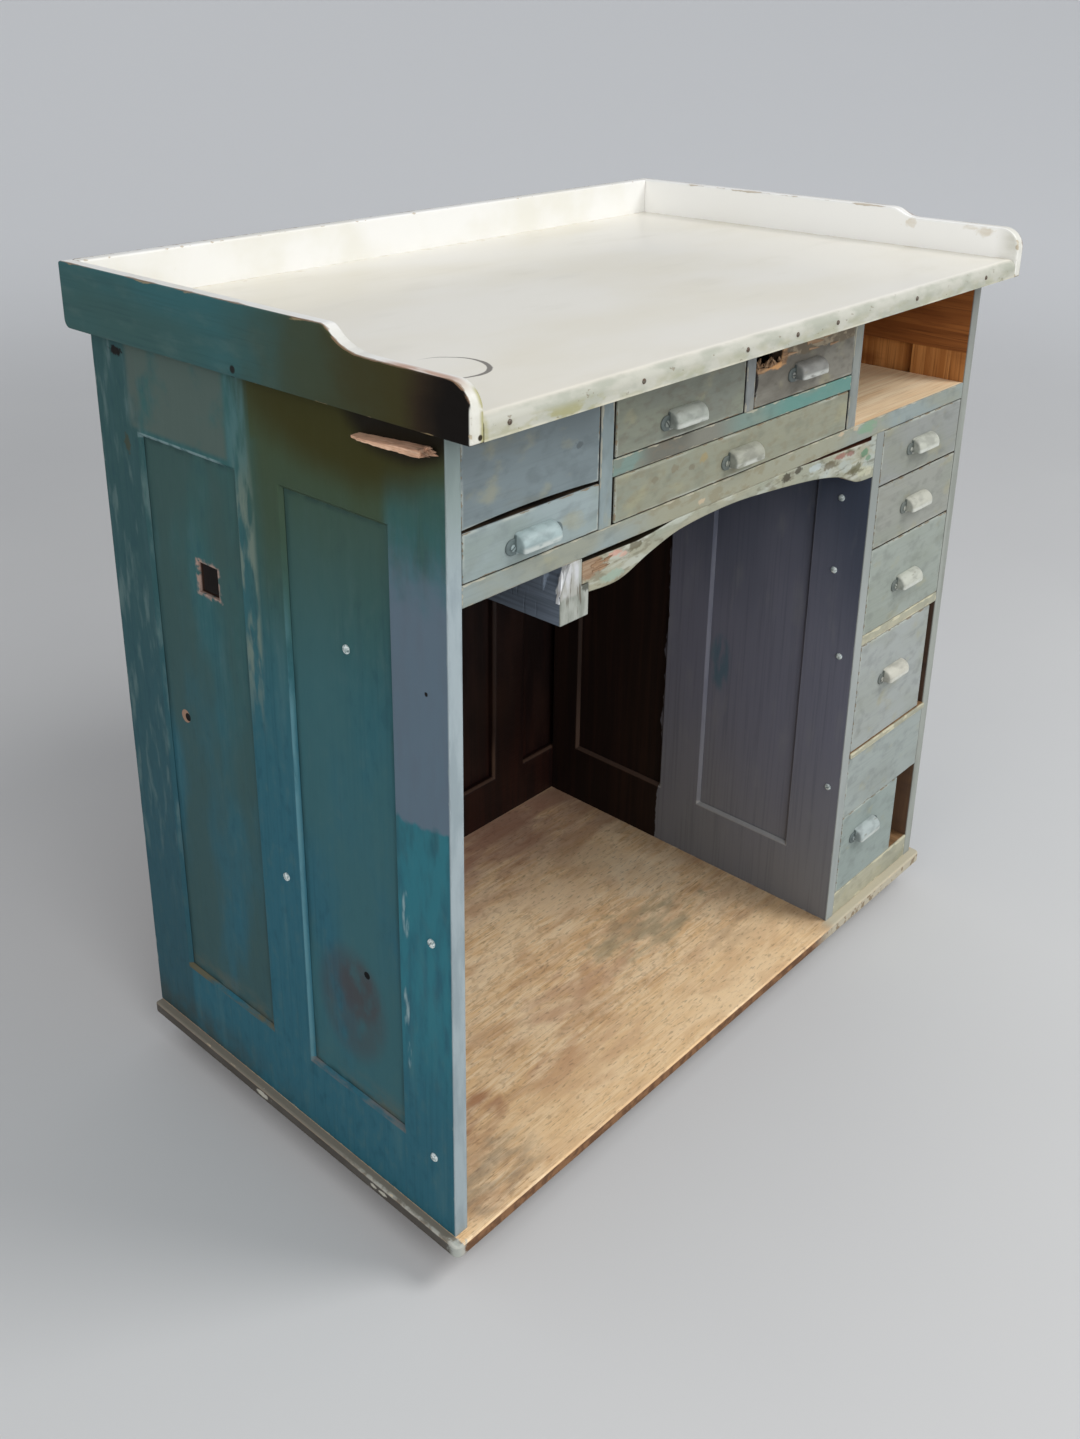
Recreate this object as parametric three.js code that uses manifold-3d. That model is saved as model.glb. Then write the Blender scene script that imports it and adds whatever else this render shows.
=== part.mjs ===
// A jeweller's bench: a painted frame-and-panel cabinet under a shallow tray with a shaped gallery.
// Millimetres, +Z up, the front faces -Y, the origin is on the floor under the middle of the tray.
import * as THREE from "three";
import { mergeVertices } from "three/addons/utils/BufferGeometryUtils.js";
import Module from "manifold-3d";

// Clearances
const FIT = 0.3;
const SLIDE = 1.2;
const RUN = 0.4;
const OVERCUT = 1;

// Plinth and base board
const PLINTH_HEIGHT = 40;
const PLINTH_BOARD = 22;
const PLINTH_SETBACK = 30;
const BASE_THICKNESS = 16;
const BASE_SIDE_LIP = 10;
const BASE_FRONT_LIP = 13;
const BASE_CORNER_RADIUS = 8;

// Framed walls
const CARCASS_DEPTH = 553;
const END_THICKNESS = 18;
const END_STILE = 80;
const END_MULLION = 77;
const END_FRONT_PANEL = 151;
const END_TOP_RAIL = 105;
const END_BOTTOM_RAIL = 98;
const PEDESTAL_WIDTH = 245;
const PEDESTAL_TOP_RAIL = 50;
const BACK_THICKNESS = 20;
const BACK_INSET = 6;
const BACK_STILE = 71;
const BACK_TOP_RAIL = 80;
const BACK_BOTTOM_RAIL = 78;
const PANEL_THICKNESS = 7;
const PANEL_RECESS = 5;
const PANEL_GROOVE = 8;
const STICKING_WIDTH = 4;
const STICKING_QUIRK = 1;
const WIRE_HOLE = 36;
const WIRE_HOLE_FROM_MULLION = 47;
const WIRE_HOLE_BELOW_RAIL = 123;

// Pedestal stack, from the base board up
const BOTTOM_RAIL = 37;
const DRAWER_5 = 127;
const PEDESTAL_BLANK = 96;
const LEDGE = 8;
const LEDGE_PROUD = 3;
const DRAWER_4 = 164;
const MIDDLE_RAIL = 14;
const DRAWER_3 = 124;
const DRAWER_2 = 87;
const DRAWER_1 = 76;
const RUNNER = 9;
const DRAWER_4_SHORT = 16;
const DRAWER_5_SHORT = 52;

// Upper case, from the left end to the right and from its bottom board up
const LEFT_BAY = 189;
const DIVIDER = 19;
const CENTRE_BAY = 447;
const RIGHT_BAY = 286;
const SMALL_LEFT_BAY = 224;
const SMALL_DIVIDER = 16;
const CASE_BOTTOM = 22;
const WIDE_DRAWER = 50;
const SHELF = 18;
const SMALL_DRAWER = 77;
const FASCIA = 18;
const BLANK_SIDE_GAP = 2.5;
const BLANK_LOWER_GAP = 2;
const BLANK_BOW = 3;

// Hanging cheek and arched apron under the upper case
const CHEEK_OFFSET = 134;
const CHEEK_WIDTH = 42;
const CHEEK_HEIGHT = 63;
const CHEEK_CHIP_WIDTH = 14;
const CHEEK_CHIP_HEIGHT = 34;
const CHEEK_CHIP_DEPTH = 22;
const CHEEK_NOTCH_WIDTH = 11;
const CHEEK_NOTCH_HEIGHT = 29;
const CHEEK_NOTCH_DEPTH = 20;
const APRON_THICKNESS = 18;
const APRON_LEFT_DROP = 43;
const APRON_RIGHT_DROP = 58;
const APRON_CROWN_DROP = 6;
const APRON_CROWN_FROM_CHEEK = 183;
const APRON_BRACKET = 105;
const APRON_LEFT_GAP = 5;
const APRON_LEFT_GAP_LENGTH = 105;
const APRON_RIGHT_GAP = 6;
const APRON_RIGHT_GAP_LENGTH = 125;
const APRON_RIGHT_TENON = 12;

// Tray and gallery
const TRAY_SIDE_OVERHANG = 14;
const TRAY_FRONT_OVERHANG = 43;
const TRAY_BACK_OVERHANG = 29;
const TRAY_BOARD = 22;
const TRAY_NOSE_RADIUS = 9;
const LINING = 1.6;
const LINING_LIP_CLEAR = 1;
const GALLERY_THICKNESS = 17;
const GALLERY_HEIGHT = 73;
const GALLERY_NOSE_RADIUS = 26;
const GALLERY_HEEL_RADIUS = 10;
const OGEE_END_FROM_FRONT = 186;
const LEFT_GALLERY_FRONT_HEIGHT = 52;
const LEFT_OGEE_LENGTH = 60;
const LEFT_OGEE_HOLLOW = 45;
const LEFT_OGEE_ROUND = 12;
const RIGHT_GALLERY_FRONT_HEIGHT = 62;
const RIGHT_OGEE_LENGTH = 40;
const RIGHT_OGEE_HOLLOW = 20;
const RIGHT_OGEE_ROUND = 16;

// Drawers and their cup pulls
const FRONT_THICKNESS = 18;
const BOX_SIDE = 10;
const BOX_BOTTOM = 6;
const BOX_BACK_SPACE = 24;
const BOX_HEAD_SPACE = 6;
const WIDE_DRAWER_PLAY = 3;
const SMALL_LEFT_DRAWER_PLAY = 2.5;
const BROKEN_CORNER_WIDTH = 53;
const BROKEN_CORNER_HEIGHT = 30;
const BROKEN_CORNER_SLOPE = 4;
const PULL_LENGTH = 78;
const PULL_HEIGHT = 18;
const PULL_DEPTH = 14;
const PULL_WALL = 2.5;
const PULL_LIP = 5;
const PULL_DROP = 5;
const PULL_PLATE = 2;
const PULL_EAR_HEIGHT = 16;
const HOOD_LENGTH = 54;
const LOW_PULL_RISE = -6;
const SMALL_LEFT_PULL_RISE = -19;
const SMALL_RIGHT_PULL_RISE = -13;
const UPPER_PULL_RISE = -3;
const DRAWER_3_PULL_RISE = -10;
const DRAWER_4_PULL_RISE = 10;
const DRAWER_5_PULL_RISE = 16;
const DRAWER_5_PULL_SHIFT = -14;
const CURVE_SEGMENTS = 8;

// Planes that several pieces share
const INNER_WIDTH = LEFT_BAY + DIVIDER + CENTRE_BAY + DIVIDER + RIGHT_BAY;
const RIGHT = INNER_WIDTH / 2 + END_THICKNESS;
const LEFT = -RIGHT;
const INNER_RIGHT = RIGHT - END_THICKNESS;
const INNER_LEFT = LEFT + END_THICKNESS;
const TRAY_DEPTH = TRAY_FRONT_OVERHANG + CARCASS_DEPTH + TRAY_BACK_OVERHANG;
const TRAY_RIGHT = RIGHT + TRAY_SIDE_OVERHANG;
const TRAY_BACK = TRAY_DEPTH / 2;
const TRAY_FRONT = -TRAY_BACK;
const FRONT = TRAY_FRONT + TRAY_FRONT_OVERHANG;
const BACK = FRONT + CARCASS_DEPTH;
const BACK_INNER = BACK - BACK_INSET - BACK_THICKNESS;
const FLOOR = PLINTH_HEIGHT + BASE_THICKNESS;

// Levels of the pedestal and of the upper case
const DRAWER_5_FLOOR = FLOOR + BOTTOM_RAIL;
const BLANK_FLOOR = DRAWER_5_FLOOR + DRAWER_5;
const LEDGE_FLOOR = BLANK_FLOOR + PEDESTAL_BLANK;
const DRAWER_4_FLOOR = LEDGE_FLOOR + LEDGE;
const MIDDLE_RAIL_FLOOR = DRAWER_4_FLOOR + DRAWER_4;
const DRAWER_3_FLOOR = MIDDLE_RAIL_FLOOR + MIDDLE_RAIL;
const DRAWER_2_FLOOR = DRAWER_3_FLOOR + DRAWER_3;
const DRAWER_1_FLOOR = DRAWER_2_FLOOR + DRAWER_2;
const CASE_UNDERSIDE = DRAWER_1_FLOOR + DRAWER_1;
const CASE_FLOOR = CASE_UNDERSIDE + CASE_BOTTOM;
const SHELF_FLOOR = CASE_FLOOR + WIDE_DRAWER;
const SMALL_FLOOR = SHELF_FLOOR + SHELF;
const CEILING = SMALL_FLOOR + SMALL_DRAWER;
const TRAY_FLOOR = CEILING + TRAY_BOARD;

// Bays of the upper case and of the pedestal
const CENTRE_LEFT = INNER_LEFT + LEFT_BAY + DIVIDER;
const CENTRE_RIGHT = CENTRE_LEFT + CENTRE_BAY;
const SMALL_SPLIT = CENTRE_LEFT + SMALL_LEFT_BAY;
const PEDESTAL_LEFT = RIGHT - PEDESTAL_WIDTH;
const PEDESTAL_INNER = PEDESTAL_LEFT + END_THICKNESS;
const CHEEK_LEFT = INNER_LEFT + CHEEK_OFFSET;
const CHEEK_RIGHT = CHEEK_LEFT + CHEEK_WIDTH;

const wasm = await Module();
wasm.setup();

const paint = (color, roughness) => new THREE.MeshStandardMaterial({ color, roughness, metalness: 0 });
const FINISH = {
  teal: paint(0x2f5a60, 0.5),
  slate: paint(0x41484e, 0.6),
  greyGreen: paint(0x929c94, 0.55),
  cream: paint(0xd2c8b0, 0.6),
  enamel: paint(0xe8e4da, 0.25),
  bareBoard: paint(0xb99468, 0.75),
  darkStain: paint(0x2a1a12, 0.6),
  drawerWood: paint(0xa07a50, 0.7),
  paintedIron: new THREE.MeshStandardMaterial({ color: 0xa4aca4, roughness: 0.45, metalness: 0.2 }),
};

const bench = new THREE.Group();

// Add one named piece to a group, the whole bench unless another is given.
function piece(name, geometry, material, group = bench) {
  const mesh = new THREE.Mesh(geometry, material);
  mesh.name = name;
  group.add(mesh);
  return mesh;
}

// Move every vertex by a rule, so that faces shared by two pieces get the very same numbers.
function remap(geometry, rule) {
  const position = geometry.attributes.position;
  for (let i = 0; i < position.count; i += 1) {
    position.setXYZ(i, ...rule(position.getX(i), position.getY(i), position.getZ(i)));
  }
  geometry.computeVertexNormals();
  return geometry;
}

const side = (value, range) => (value < 0 ? range[0] : range[1]);

// A board between two corners.
function board(x, y, z) {
  return remap(new THREE.BoxGeometry(1, 1, 1), (u, v, w) => [side(u, x), side(v, y), side(w, z)]);
}

function extrude(shape) {
  return new THREE.ExtrudeGeometry(shape, { depth: 1, bevelEnabled: false, curveSegments: CURVE_SEGMENTS });
}

// A side outline, drawn in (y, z), carried across the bench.
function alongX(shape, x) {
  return remap(extrude(shape), (u, v, w) => [w > 0.5 ? x[1] : x[0], u, v]);
}

// A front outline, drawn in (x, z), carried from front to back.
function alongY(shape, y) {
  return remap(extrude(shape), (u, v, w) => [u, w > 0.5 ? y[0] : y[1], v]);
}

// A plan outline, drawn in (x, y), carried upwards.
function alongZ(shape, z) {
  return remap(extrude(shape), (u, v, w) => [u, v, w > 0.5 ? z[1] : z[0]]);
}

function toSolid(geometry) {
  const bare = geometry.clone();
  bare.deleteAttribute("normal");
  bare.deleteAttribute("uv");
  const merged = mergeVertices(bare);
  const vertProperties = new Float32Array(merged.attributes.position.array);
  const triVerts = new Uint32Array(merged.index.array);
  return new wasm.Manifold(new wasm.Mesh({ numProp: 3, vertProperties, triVerts }));
}

function fromSolid(solid) {
  const mesh = solid.getMesh();
  const geometry = new THREE.BufferGeometry();
  geometry.setAttribute("position", new THREE.BufferAttribute(new Float32Array(mesh.vertProperties), 3));
  geometry.setIndex(new THREE.BufferAttribute(new Uint32Array(mesh.triVerts), 1));
  const loose = geometry.toNonIndexed();
  loose.computeVertexNormals();
  return loose;
}

function cut(geometry, ...tools) {
  const whole = toSolid(geometry);
  return fromSolid(tools.reduce((solid, tool) => solid.subtract(toSolid(tool)), whole));
}

function join(geometry, ...others) {
  const first = toSolid(geometry);
  return fromSolid(others.reduce((solid, other) => solid.add(toSolid(other)), first));
}

const grow = (range, by) => [range[0] - by, range[1] + by];

// The cutter for the bevelled edge of a window: it flares from the window out past the wall's face.
// The wall's length runs along X or Y, and inwards is the sign of the way from the face into the wood.
function bevelCutter(along, window, windowZ, face, inwards) {
  const depth = PANEL_RECESS - STICKING_QUIRK;
  return remap(new THREE.BoxGeometry(1, 1, 1), (u, v, w) => {
    const [lengthwise, through] = along === "x" ? [u, v] : [v, u];
    const flare = through * inwards < 0 ? 2 * STICKING_WIDTH : 0;
    const length = side(lengthwise, grow(window, flare));
    const place = side(through, grow([face, face], depth));
    const height = side(w, grow(windowZ, flare));
    return along === "x" ? [length, place, height] : [place, length, height];
  });
}

// Plinth: four boards glued into a ring, set back under the base board.
const baseX = grow([LEFT, RIGHT], BASE_SIDE_LIP);
const baseY = [FRONT - BASE_FRONT_LIP, BACK];
const plinthX = grow(baseX, -PLINTH_SETBACK);
const plinthY = grow(baseY, -PLINTH_SETBACK);
const plinthZ = [0, PLINTH_HEIGHT];
const hollowX = grow(plinthX, -PLINTH_BOARD);
const hollowY = grow(plinthY, -PLINTH_BOARD);
const plinthHollow = board(hollowX, hollowY, grow(plinthZ, OVERCUT));
piece("plinth_frame", cut(board(plinthX, plinthY, plinthZ), plinthHollow), FINISH.darkStain);

// Base board: the kneehole's floor, with its front corners rounded.
const basePlan = new THREE.Shape();
basePlan.moveTo(baseX[0], baseY[1]);
basePlan.lineTo(baseX[0], baseY[0] + BASE_CORNER_RADIUS);
const baseCornerY = baseY[0] + BASE_CORNER_RADIUS;
basePlan.absarc(baseX[0] + BASE_CORNER_RADIUS, baseCornerY, BASE_CORNER_RADIUS, Math.PI, 1.5 * Math.PI);
basePlan.absarc(baseX[1] - BASE_CORNER_RADIUS, baseCornerY, BASE_CORNER_RADIUS, 1.5 * Math.PI, 2 * Math.PI);
basePlan.lineTo(baseX[1], baseY[1]);
piece("base_board", alongZ(basePlan, [PLINTH_HEIGHT, FLOOR]), FINISH.bareBoard);

// Ends and pedestal side: three stiles and two rails round two tall panels.
const frontWindow = [FRONT + END_STILE, FRONT + END_STILE + END_FRONT_PANEL];
const rearWindow = [frontWindow[1] + END_MULLION, BACK - END_STILE];

// Each wall is a glued-up frame with a groove and a bevelled edge round its two windows, and the panels
// that stand in those grooves. inwards is the sign of X from its outer face into the wood.
function panelledWall({ name, outerFace, inwards, rear, top, topRail, material, sawnHole }) {
  const span = (from, to) => [outerFace + inwards * from, outerFace + inwards * to].sort((a, b) => a - b);
  const through = span(0, END_THICKNESS);
  const panelThrough = span(PANEL_RECESS, PANEL_RECESS + PANEL_THICKNESS);
  const windowZ = [FLOOR + END_BOTTOM_RAIL, top - topRail];
  const tongue = PANEL_GROOVE - FIT;
  const panelZ = [windowZ[0] - PANEL_GROOVE, windowZ[1] + tongue];
  const windows = { front: frontWindow, rear: rearWindow };
  const cutters = Object.values(windows).flatMap((window) => [
    board(grow(through, PANEL_RECESS), window, windowZ),
    board(grow(panelThrough, FIT), grow(window, PANEL_GROOVE), grow(windowZ, PANEL_GROOVE)),
    bevelCutter("y", window, windowZ, outerFace, inwards),
  ]);
  piece(`${name}_frame`, cut(board(through, [FRONT, rear], [FLOOR, top]), ...cutters), material);
  for (const [place, window] of Object.entries(windows)) {
    const panel = board(panelThrough, grow(window, tongue), panelZ);
    const sawn = sawnHole && place === "rear" ? cut(panel, sawnHole) : panel;
    piece(`${name}_panel_${place}`, sawn, material);
  }
}

// The left end's rear panel has a square hole sawn through it.
const holeFront = rearWindow[0] + WIRE_HOLE_FROM_MULLION;
const holeTop = CEILING - END_TOP_RAIL - WIRE_HOLE_BELOW_RAIL;
const holeY = [holeFront, holeFront + WIRE_HOLE];
const sawnHole = board(grow([LEFT, INNER_LEFT], OVERCUT), holeY, [holeTop - WIRE_HOLE, holeTop]);
const end = { rear: BACK, top: CEILING, topRail: END_TOP_RAIL, material: FINISH.teal };
panelledWall({ name: "left_end", outerFace: LEFT, inwards: 1, ...end, sawnHole });
panelledWall({ name: "right_end", outerFace: RIGHT, inwards: -1, ...end });
panelledWall({
  name: "pedestal_side",
  outerFace: PEDESTAL_LEFT,
  inwards: 1,
  rear: BACK_INNER,
  top: CASE_UNDERSIDE,
  topRail: PEDESTAL_TOP_RAIL,
  material: FINISH.slate,
});

// Back: a frame of four stiles and two rails, with one thin sheet let into its rebate from behind.
const backWindow = (INNER_WIDTH - 4 * BACK_STILE) / 3;
const backWindows = [0, 1, 2].map((i) => {
  const start = INNER_LEFT + BACK_STILE + i * (backWindow + BACK_STILE);
  return [start, start + backWindow];
});
const backY = [BACK_INNER, BACK_INNER + BACK_THICKNESS];
const backZ = [FLOOR, CEILING];
const backWindowZ = [FLOOR + BACK_BOTTOM_RAIL, CEILING - BACK_TOP_RAIL];
const sheetX = grow([backWindows[0][0], backWindows[2][1]], PANEL_GROOVE);
const sheetZ = grow(backWindowZ, PANEL_GROOVE);
const sheetY = [backY[1] - PANEL_THICKNESS, backY[1]];
const backCuts = backWindows.flatMap((window) => [
  board(window, grow(backY, PANEL_RECESS), backWindowZ),
  bevelCutter("x", window, backWindowZ, BACK_INNER, 1),
]);
const rebateY = [sheetY[0], sheetY[1] + PANEL_RECESS];
const rebate = board(grow(sheetX, FIT), rebateY, [sheetZ[0], sheetZ[1] + FIT]);
const backBoard = board([INNER_LEFT, INNER_RIGHT], backY, backZ);
piece("back_frame", cut(backBoard, ...backCuts, rebate), FINISH.darkStain);
piece("back_panel", board(sheetX, sheetY, sheetZ), FINISH.darkStain);

// Upper case: a bottom board across the whole bench, two dividers, a shelf and a short divider on it.
const CASE_Y = [FRONT, BACK_INNER];
const CASE_Z = [CASE_FLOOR, CEILING];
const splitX = [SMALL_SPLIT, SMALL_SPLIT + SMALL_DIVIDER];
const caseBoards = [
  { name: "case_bottom", x: [INNER_LEFT, INNER_RIGHT], z: [CASE_UNDERSIDE, CASE_FLOOR] },
  { name: "divider_left", x: [CENTRE_LEFT - DIVIDER, CENTRE_LEFT], z: CASE_Z },
  { name: "divider_right", x: [CENTRE_RIGHT, CENTRE_RIGHT + DIVIDER], z: CASE_Z },
  { name: "small_drawer_shelf", x: [CENTRE_LEFT, CENTRE_RIGHT], z: [SHELF_FLOOR, SMALL_FLOOR] },
  { name: "small_drawer_divider", x: splitX, z: [SMALL_FLOOR, CEILING] },
];
for (const { name, x, z } of caseBoards) {
  piece(name, board(x, CASE_Y, z), FINISH.greyGreen);
}
const blankY = [FRONT, FRONT + FASCIA];
const leftBlankX = [INNER_LEFT, CENTRE_LEFT - DIVIDER];
const blankRight = leftBlankX[1] - BLANK_SIDE_GAP;
const blankLow = SHELF_FLOOR + BLANK_LOWER_GAP;
const bowTop = [(leftBlankX[0] + blankRight) / 2, blankLow + 2 * BLANK_BOW];
const blank = new THREE.Shape();
blank.moveTo(leftBlankX[0], CEILING);
blank.lineTo(leftBlankX[0], blankLow);
blank.quadraticCurveTo(...bowTop, blankRight, blankLow);
blank.lineTo(blankRight, CEILING);
piece("left_blank_front", alongY(blank, blankY), FINISH.greyGreen);

// Hanging cheek: a thick board from front to back under the case. In front its left corner is chipped off
// and its right corner is notched beside the apron.
const cheekZ = [CASE_UNDERSIDE - CHEEK_HEIGHT, CASE_UNDERSIDE];
const chip = new THREE.Shape();
chip.moveTo(CHEEK_LEFT - OVERCUT, CASE_UNDERSIDE + OVERCUT);
chip.lineTo(CHEEK_LEFT - OVERCUT, CASE_UNDERSIDE - CHEEK_CHIP_HEIGHT);
chip.lineTo(CHEEK_LEFT + CHEEK_CHIP_WIDTH, CASE_UNDERSIDE + OVERCUT);
const chipSolid = alongY(chip, [FRONT - OVERCUT, FRONT + CHEEK_CHIP_DEPTH]);
const notchSolid = board(
  [CHEEK_RIGHT - CHEEK_NOTCH_WIDTH, CHEEK_RIGHT + OVERCUT],
  [FRONT - OVERCUT, FRONT + CHEEK_NOTCH_DEPTH],
  [CASE_UNDERSIDE - CHEEK_NOTCH_HEIGHT, CASE_UNDERSIDE + OVERCUT],
);
const cheekBoard = board([CHEEK_LEFT, CHEEK_RIGHT], CASE_Y, cheekZ);
piece("hanging_cheek", cut(cheekBoard, chipSolid, notchSolid), FINISH.slate);

// Arched apron: its lower edge falls from a crown near the cheek to a bracket at either end. Its top edge
// is glued to the case in the middle and has sprung open towards the ends.
const apron = new THREE.Shape();
const crownX = CHEEK_RIGHT + APRON_CROWN_FROM_CHEEK;
const crownZ = CASE_UNDERSIDE - APRON_CROWN_DROP;
const apronLeftZ = CASE_UNDERSIDE - APRON_LEFT_DROP;
const apronRightZ = CASE_UNDERSIDE - APRON_RIGHT_DROP;
const bracketX = [CHEEK_RIGHT + APRON_BRACKET, crownX - APRON_BRACKET];
const tenonX = PEDESTAL_LEFT - APRON_RIGHT_TENON;
apron.moveTo(CHEEK_RIGHT + APRON_LEFT_GAP_LENGTH, CASE_UNDERSIDE);
apron.lineTo(CHEEK_RIGHT, CASE_UNDERSIDE - APRON_LEFT_GAP);
apron.lineTo(CHEEK_RIGHT, apronLeftZ);
apron.bezierCurveTo(bracketX[0], apronLeftZ, bracketX[1], crownZ, crownX, crownZ);
apron.quadraticCurveTo((crownX + PEDESTAL_LEFT) / 2, crownZ, PEDESTAL_LEFT, apronRightZ);
apron.lineTo(PEDESTAL_LEFT, CASE_UNDERSIDE);
apron.lineTo(tenonX, CASE_UNDERSIDE);
apron.lineTo(tenonX, CASE_UNDERSIDE - APRON_RIGHT_GAP);
apron.lineTo(tenonX - APRON_RIGHT_GAP_LENGTH, CASE_UNDERSIDE);
piece("arched_apron", alongY(apron, [FRONT, FRONT + APRON_THICKNESS]), FINISH.greyGreen);

// Pedestal: boards that carry its drawers, two of them with a front edge in view, and two fixed fronts.
const PEDESTAL_X = [PEDESTAL_INNER, INNER_RIGHT];
const behindFronts = [FRONT + FRONT_THICKNESS + SLIDE, BACK_INNER];
const carriers = [
  { name: "pedestal_runner_1", y: behindFronts, top: DRAWER_1_FLOOR, thickness: RUNNER },
  { name: "pedestal_runner_2", y: behindFronts, top: DRAWER_2_FLOOR, thickness: RUNNER },
  { name: "pedestal_middle_rail", y: CASE_Y, top: DRAWER_3_FLOOR, thickness: MIDDLE_RAIL },
  { name: "pedestal_ledge", y: [FRONT - LEDGE_PROUD, BACK_INNER], top: DRAWER_4_FLOOR, thickness: LEDGE },
  { name: "pedestal_runner_5", y: [FRONT + FASCIA, BACK_INNER], top: DRAWER_5_FLOOR, thickness: RUNNER },
];
for (const { name, y, top, thickness } of carriers) {
  piece(name, board(PEDESTAL_X, y, [top - thickness, top]), FINISH.cream);
}
piece("pedestal_blank_front", board(PEDESTAL_X, blankY, [BLANK_FLOOR, LEDGE_FLOOR]), FINISH.greyGreen);
piece("pedestal_bottom_rail", board(PEDESTAL_X, blankY, [FLOOR, DRAWER_5_FLOOR]), FINISH.cream);

// Tray board with a rounded front edge, and the sheet lining that is folded down over that edge.
const boardX = grow([-TRAY_RIGHT, TRAY_RIGHT], -GALLERY_THICKNESS);
const boardBack = TRAY_BACK - GALLERY_THICKNESS;
const boardFront = TRAY_FRONT + LINING + FIT;
const noseY = boardFront + TRAY_NOSE_RADIUS;
const noseZ = TRAY_FLOOR - TRAY_NOSE_RADIUS;
const boardSide = new THREE.Shape();
boardSide.moveTo(boardBack, CEILING);
boardSide.lineTo(boardBack, TRAY_FLOOR);
boardSide.lineTo(noseY, TRAY_FLOOR);
boardSide.absarc(noseY, noseZ, TRAY_NOSE_RADIUS, Math.PI / 2, Math.PI);
boardSide.lineTo(boardFront, CEILING);
piece("tray_board", alongX(boardSide, boardX), FINISH.drawerWood);

const lipZ = CEILING + LINING_LIP_CLEAR;
const liningSide = new THREE.Shape();
liningSide.moveTo(boardBack, TRAY_FLOOR);
liningSide.lineTo(boardBack, TRAY_FLOOR + LINING);
liningSide.lineTo(noseY, TRAY_FLOOR + LINING);
liningSide.absellipse(noseY, noseZ, noseY - TRAY_FRONT, TRAY_NOSE_RADIUS + LINING, Math.PI / 2, Math.PI);
liningSide.lineTo(TRAY_FRONT, lipZ);
liningSide.lineTo(boardFront - FIT, lipZ);
liningSide.lineTo(boardFront - FIT, noseZ);
liningSide.absarc(noseY, noseZ, TRAY_NOSE_RADIUS + FIT, Math.PI, Math.PI / 2, true);
liningSide.lineTo(noseY + FIT, TRAY_FLOOR);
piece("tray_lining", alongX(liningSide, boardX), FINISH.enamel);

// Gallery: a plain back board between two side boards whose top edge steps down in an ogee.
// The sides were sawn by eye, so the right one steps down less and over a shorter length.
const galleryTop = CEILING + GALLERY_HEIGHT;
const ogeeEnd = TRAY_FRONT + OGEE_END_FROM_FRONT;

function gallerySide(frontHeight, ogeeLength, hollow, round) {
  const frontTop = CEILING + frontHeight;
  const ogeeStart = ogeeEnd - ogeeLength;
  const noseCentre = [TRAY_FRONT + GALLERY_NOSE_RADIUS, frontTop - GALLERY_NOSE_RADIUS];
  const heelCentre = [TRAY_BACK - GALLERY_HEEL_RADIUS, CEILING + GALLERY_HEEL_RADIUS];
  const side = new THREE.Shape();
  side.moveTo(TRAY_FRONT, CEILING);
  side.lineTo(TRAY_FRONT, frontTop - GALLERY_NOSE_RADIUS);
  side.absarc(...noseCentre, GALLERY_NOSE_RADIUS, Math.PI, Math.PI / 2, true);
  side.lineTo(ogeeStart, frontTop);
  side.bezierCurveTo(ogeeStart + hollow, frontTop, ogeeEnd - round, galleryTop, ogeeEnd, galleryTop);
  side.lineTo(TRAY_BACK, galleryTop);
  side.lineTo(TRAY_BACK, CEILING + GALLERY_HEEL_RADIUS);
  side.absarc(...heelCentre, GALLERY_HEEL_RADIUS, 0, -Math.PI / 2, true);
  return side;
}

const leftOgee = [LEFT_OGEE_LENGTH, LEFT_OGEE_HOLLOW, LEFT_OGEE_ROUND];
const leftSide = gallerySide(LEFT_GALLERY_FRONT_HEIGHT, ...leftOgee);
piece("gallery_left", alongX(leftSide, [-TRAY_RIGHT, boardX[0]]), FINISH.teal);
const rightOgee = [RIGHT_OGEE_LENGTH, RIGHT_OGEE_HOLLOW, RIGHT_OGEE_ROUND];
const rightSide = gallerySide(RIGHT_GALLERY_FRONT_HEIGHT, ...rightOgee);
piece("gallery_right", alongX(rightSide, [boardX[1], TRAY_RIGHT]), FINISH.teal);
piece("gallery_back", board(boardX, [boardBack, TRAY_BACK], [CEILING, galleryTop]), FINISH.teal);

// Cup pull: a hood with closed ends, open below for the fingers, on a plate with two round ears.
function cupPull() {
  const shoulder = PULL_LIP - PULL_DROP;
  const rise = PULL_HEIGHT - PULL_LIP;
  const outline = () => {
    const shape = new THREE.Shape();
    shape.moveTo(0, shoulder + rise);
    shape.absellipse(0, shoulder, PULL_DEPTH, rise, Math.PI / 2, Math.PI);
    shape.lineTo(-PULL_DEPTH, -PULL_DROP);
    return shape;
  };
  const hood = outline();
  hood.lineTo(PULL_WALL - PULL_DEPTH, -PULL_DROP);
  hood.lineTo(PULL_WALL - PULL_DEPTH, shoulder);
  hood.absellipse(0, shoulder, PULL_DEPTH - PULL_WALL, rise - PULL_WALL, Math.PI, Math.PI / 2, true);
  const cheek = outline();
  cheek.lineTo(0, -PULL_DROP);
  const half = HOOD_LENGTH / 2;
  const earRadius = PULL_EAR_HEIGHT / 2;
  const earX = PULL_LENGTH / 2 - earRadius;
  const plate = new THREE.Shape();
  plate.absarc(earX, 0, earRadius, -Math.PI / 2, Math.PI / 2);
  plate.absarc(-earX, 0, earRadius, Math.PI / 2, 1.5 * Math.PI);
  return join(
    alongX(hood, [-half, half]),
    alongX(cheek, [-half, PULL_WALL - half]),
    alongX(cheek, [half - PULL_WALL, half]),
    alongY(plate, [-PULL_PLATE, 0]),
  );
}
const PULL = cupPull();

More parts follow.
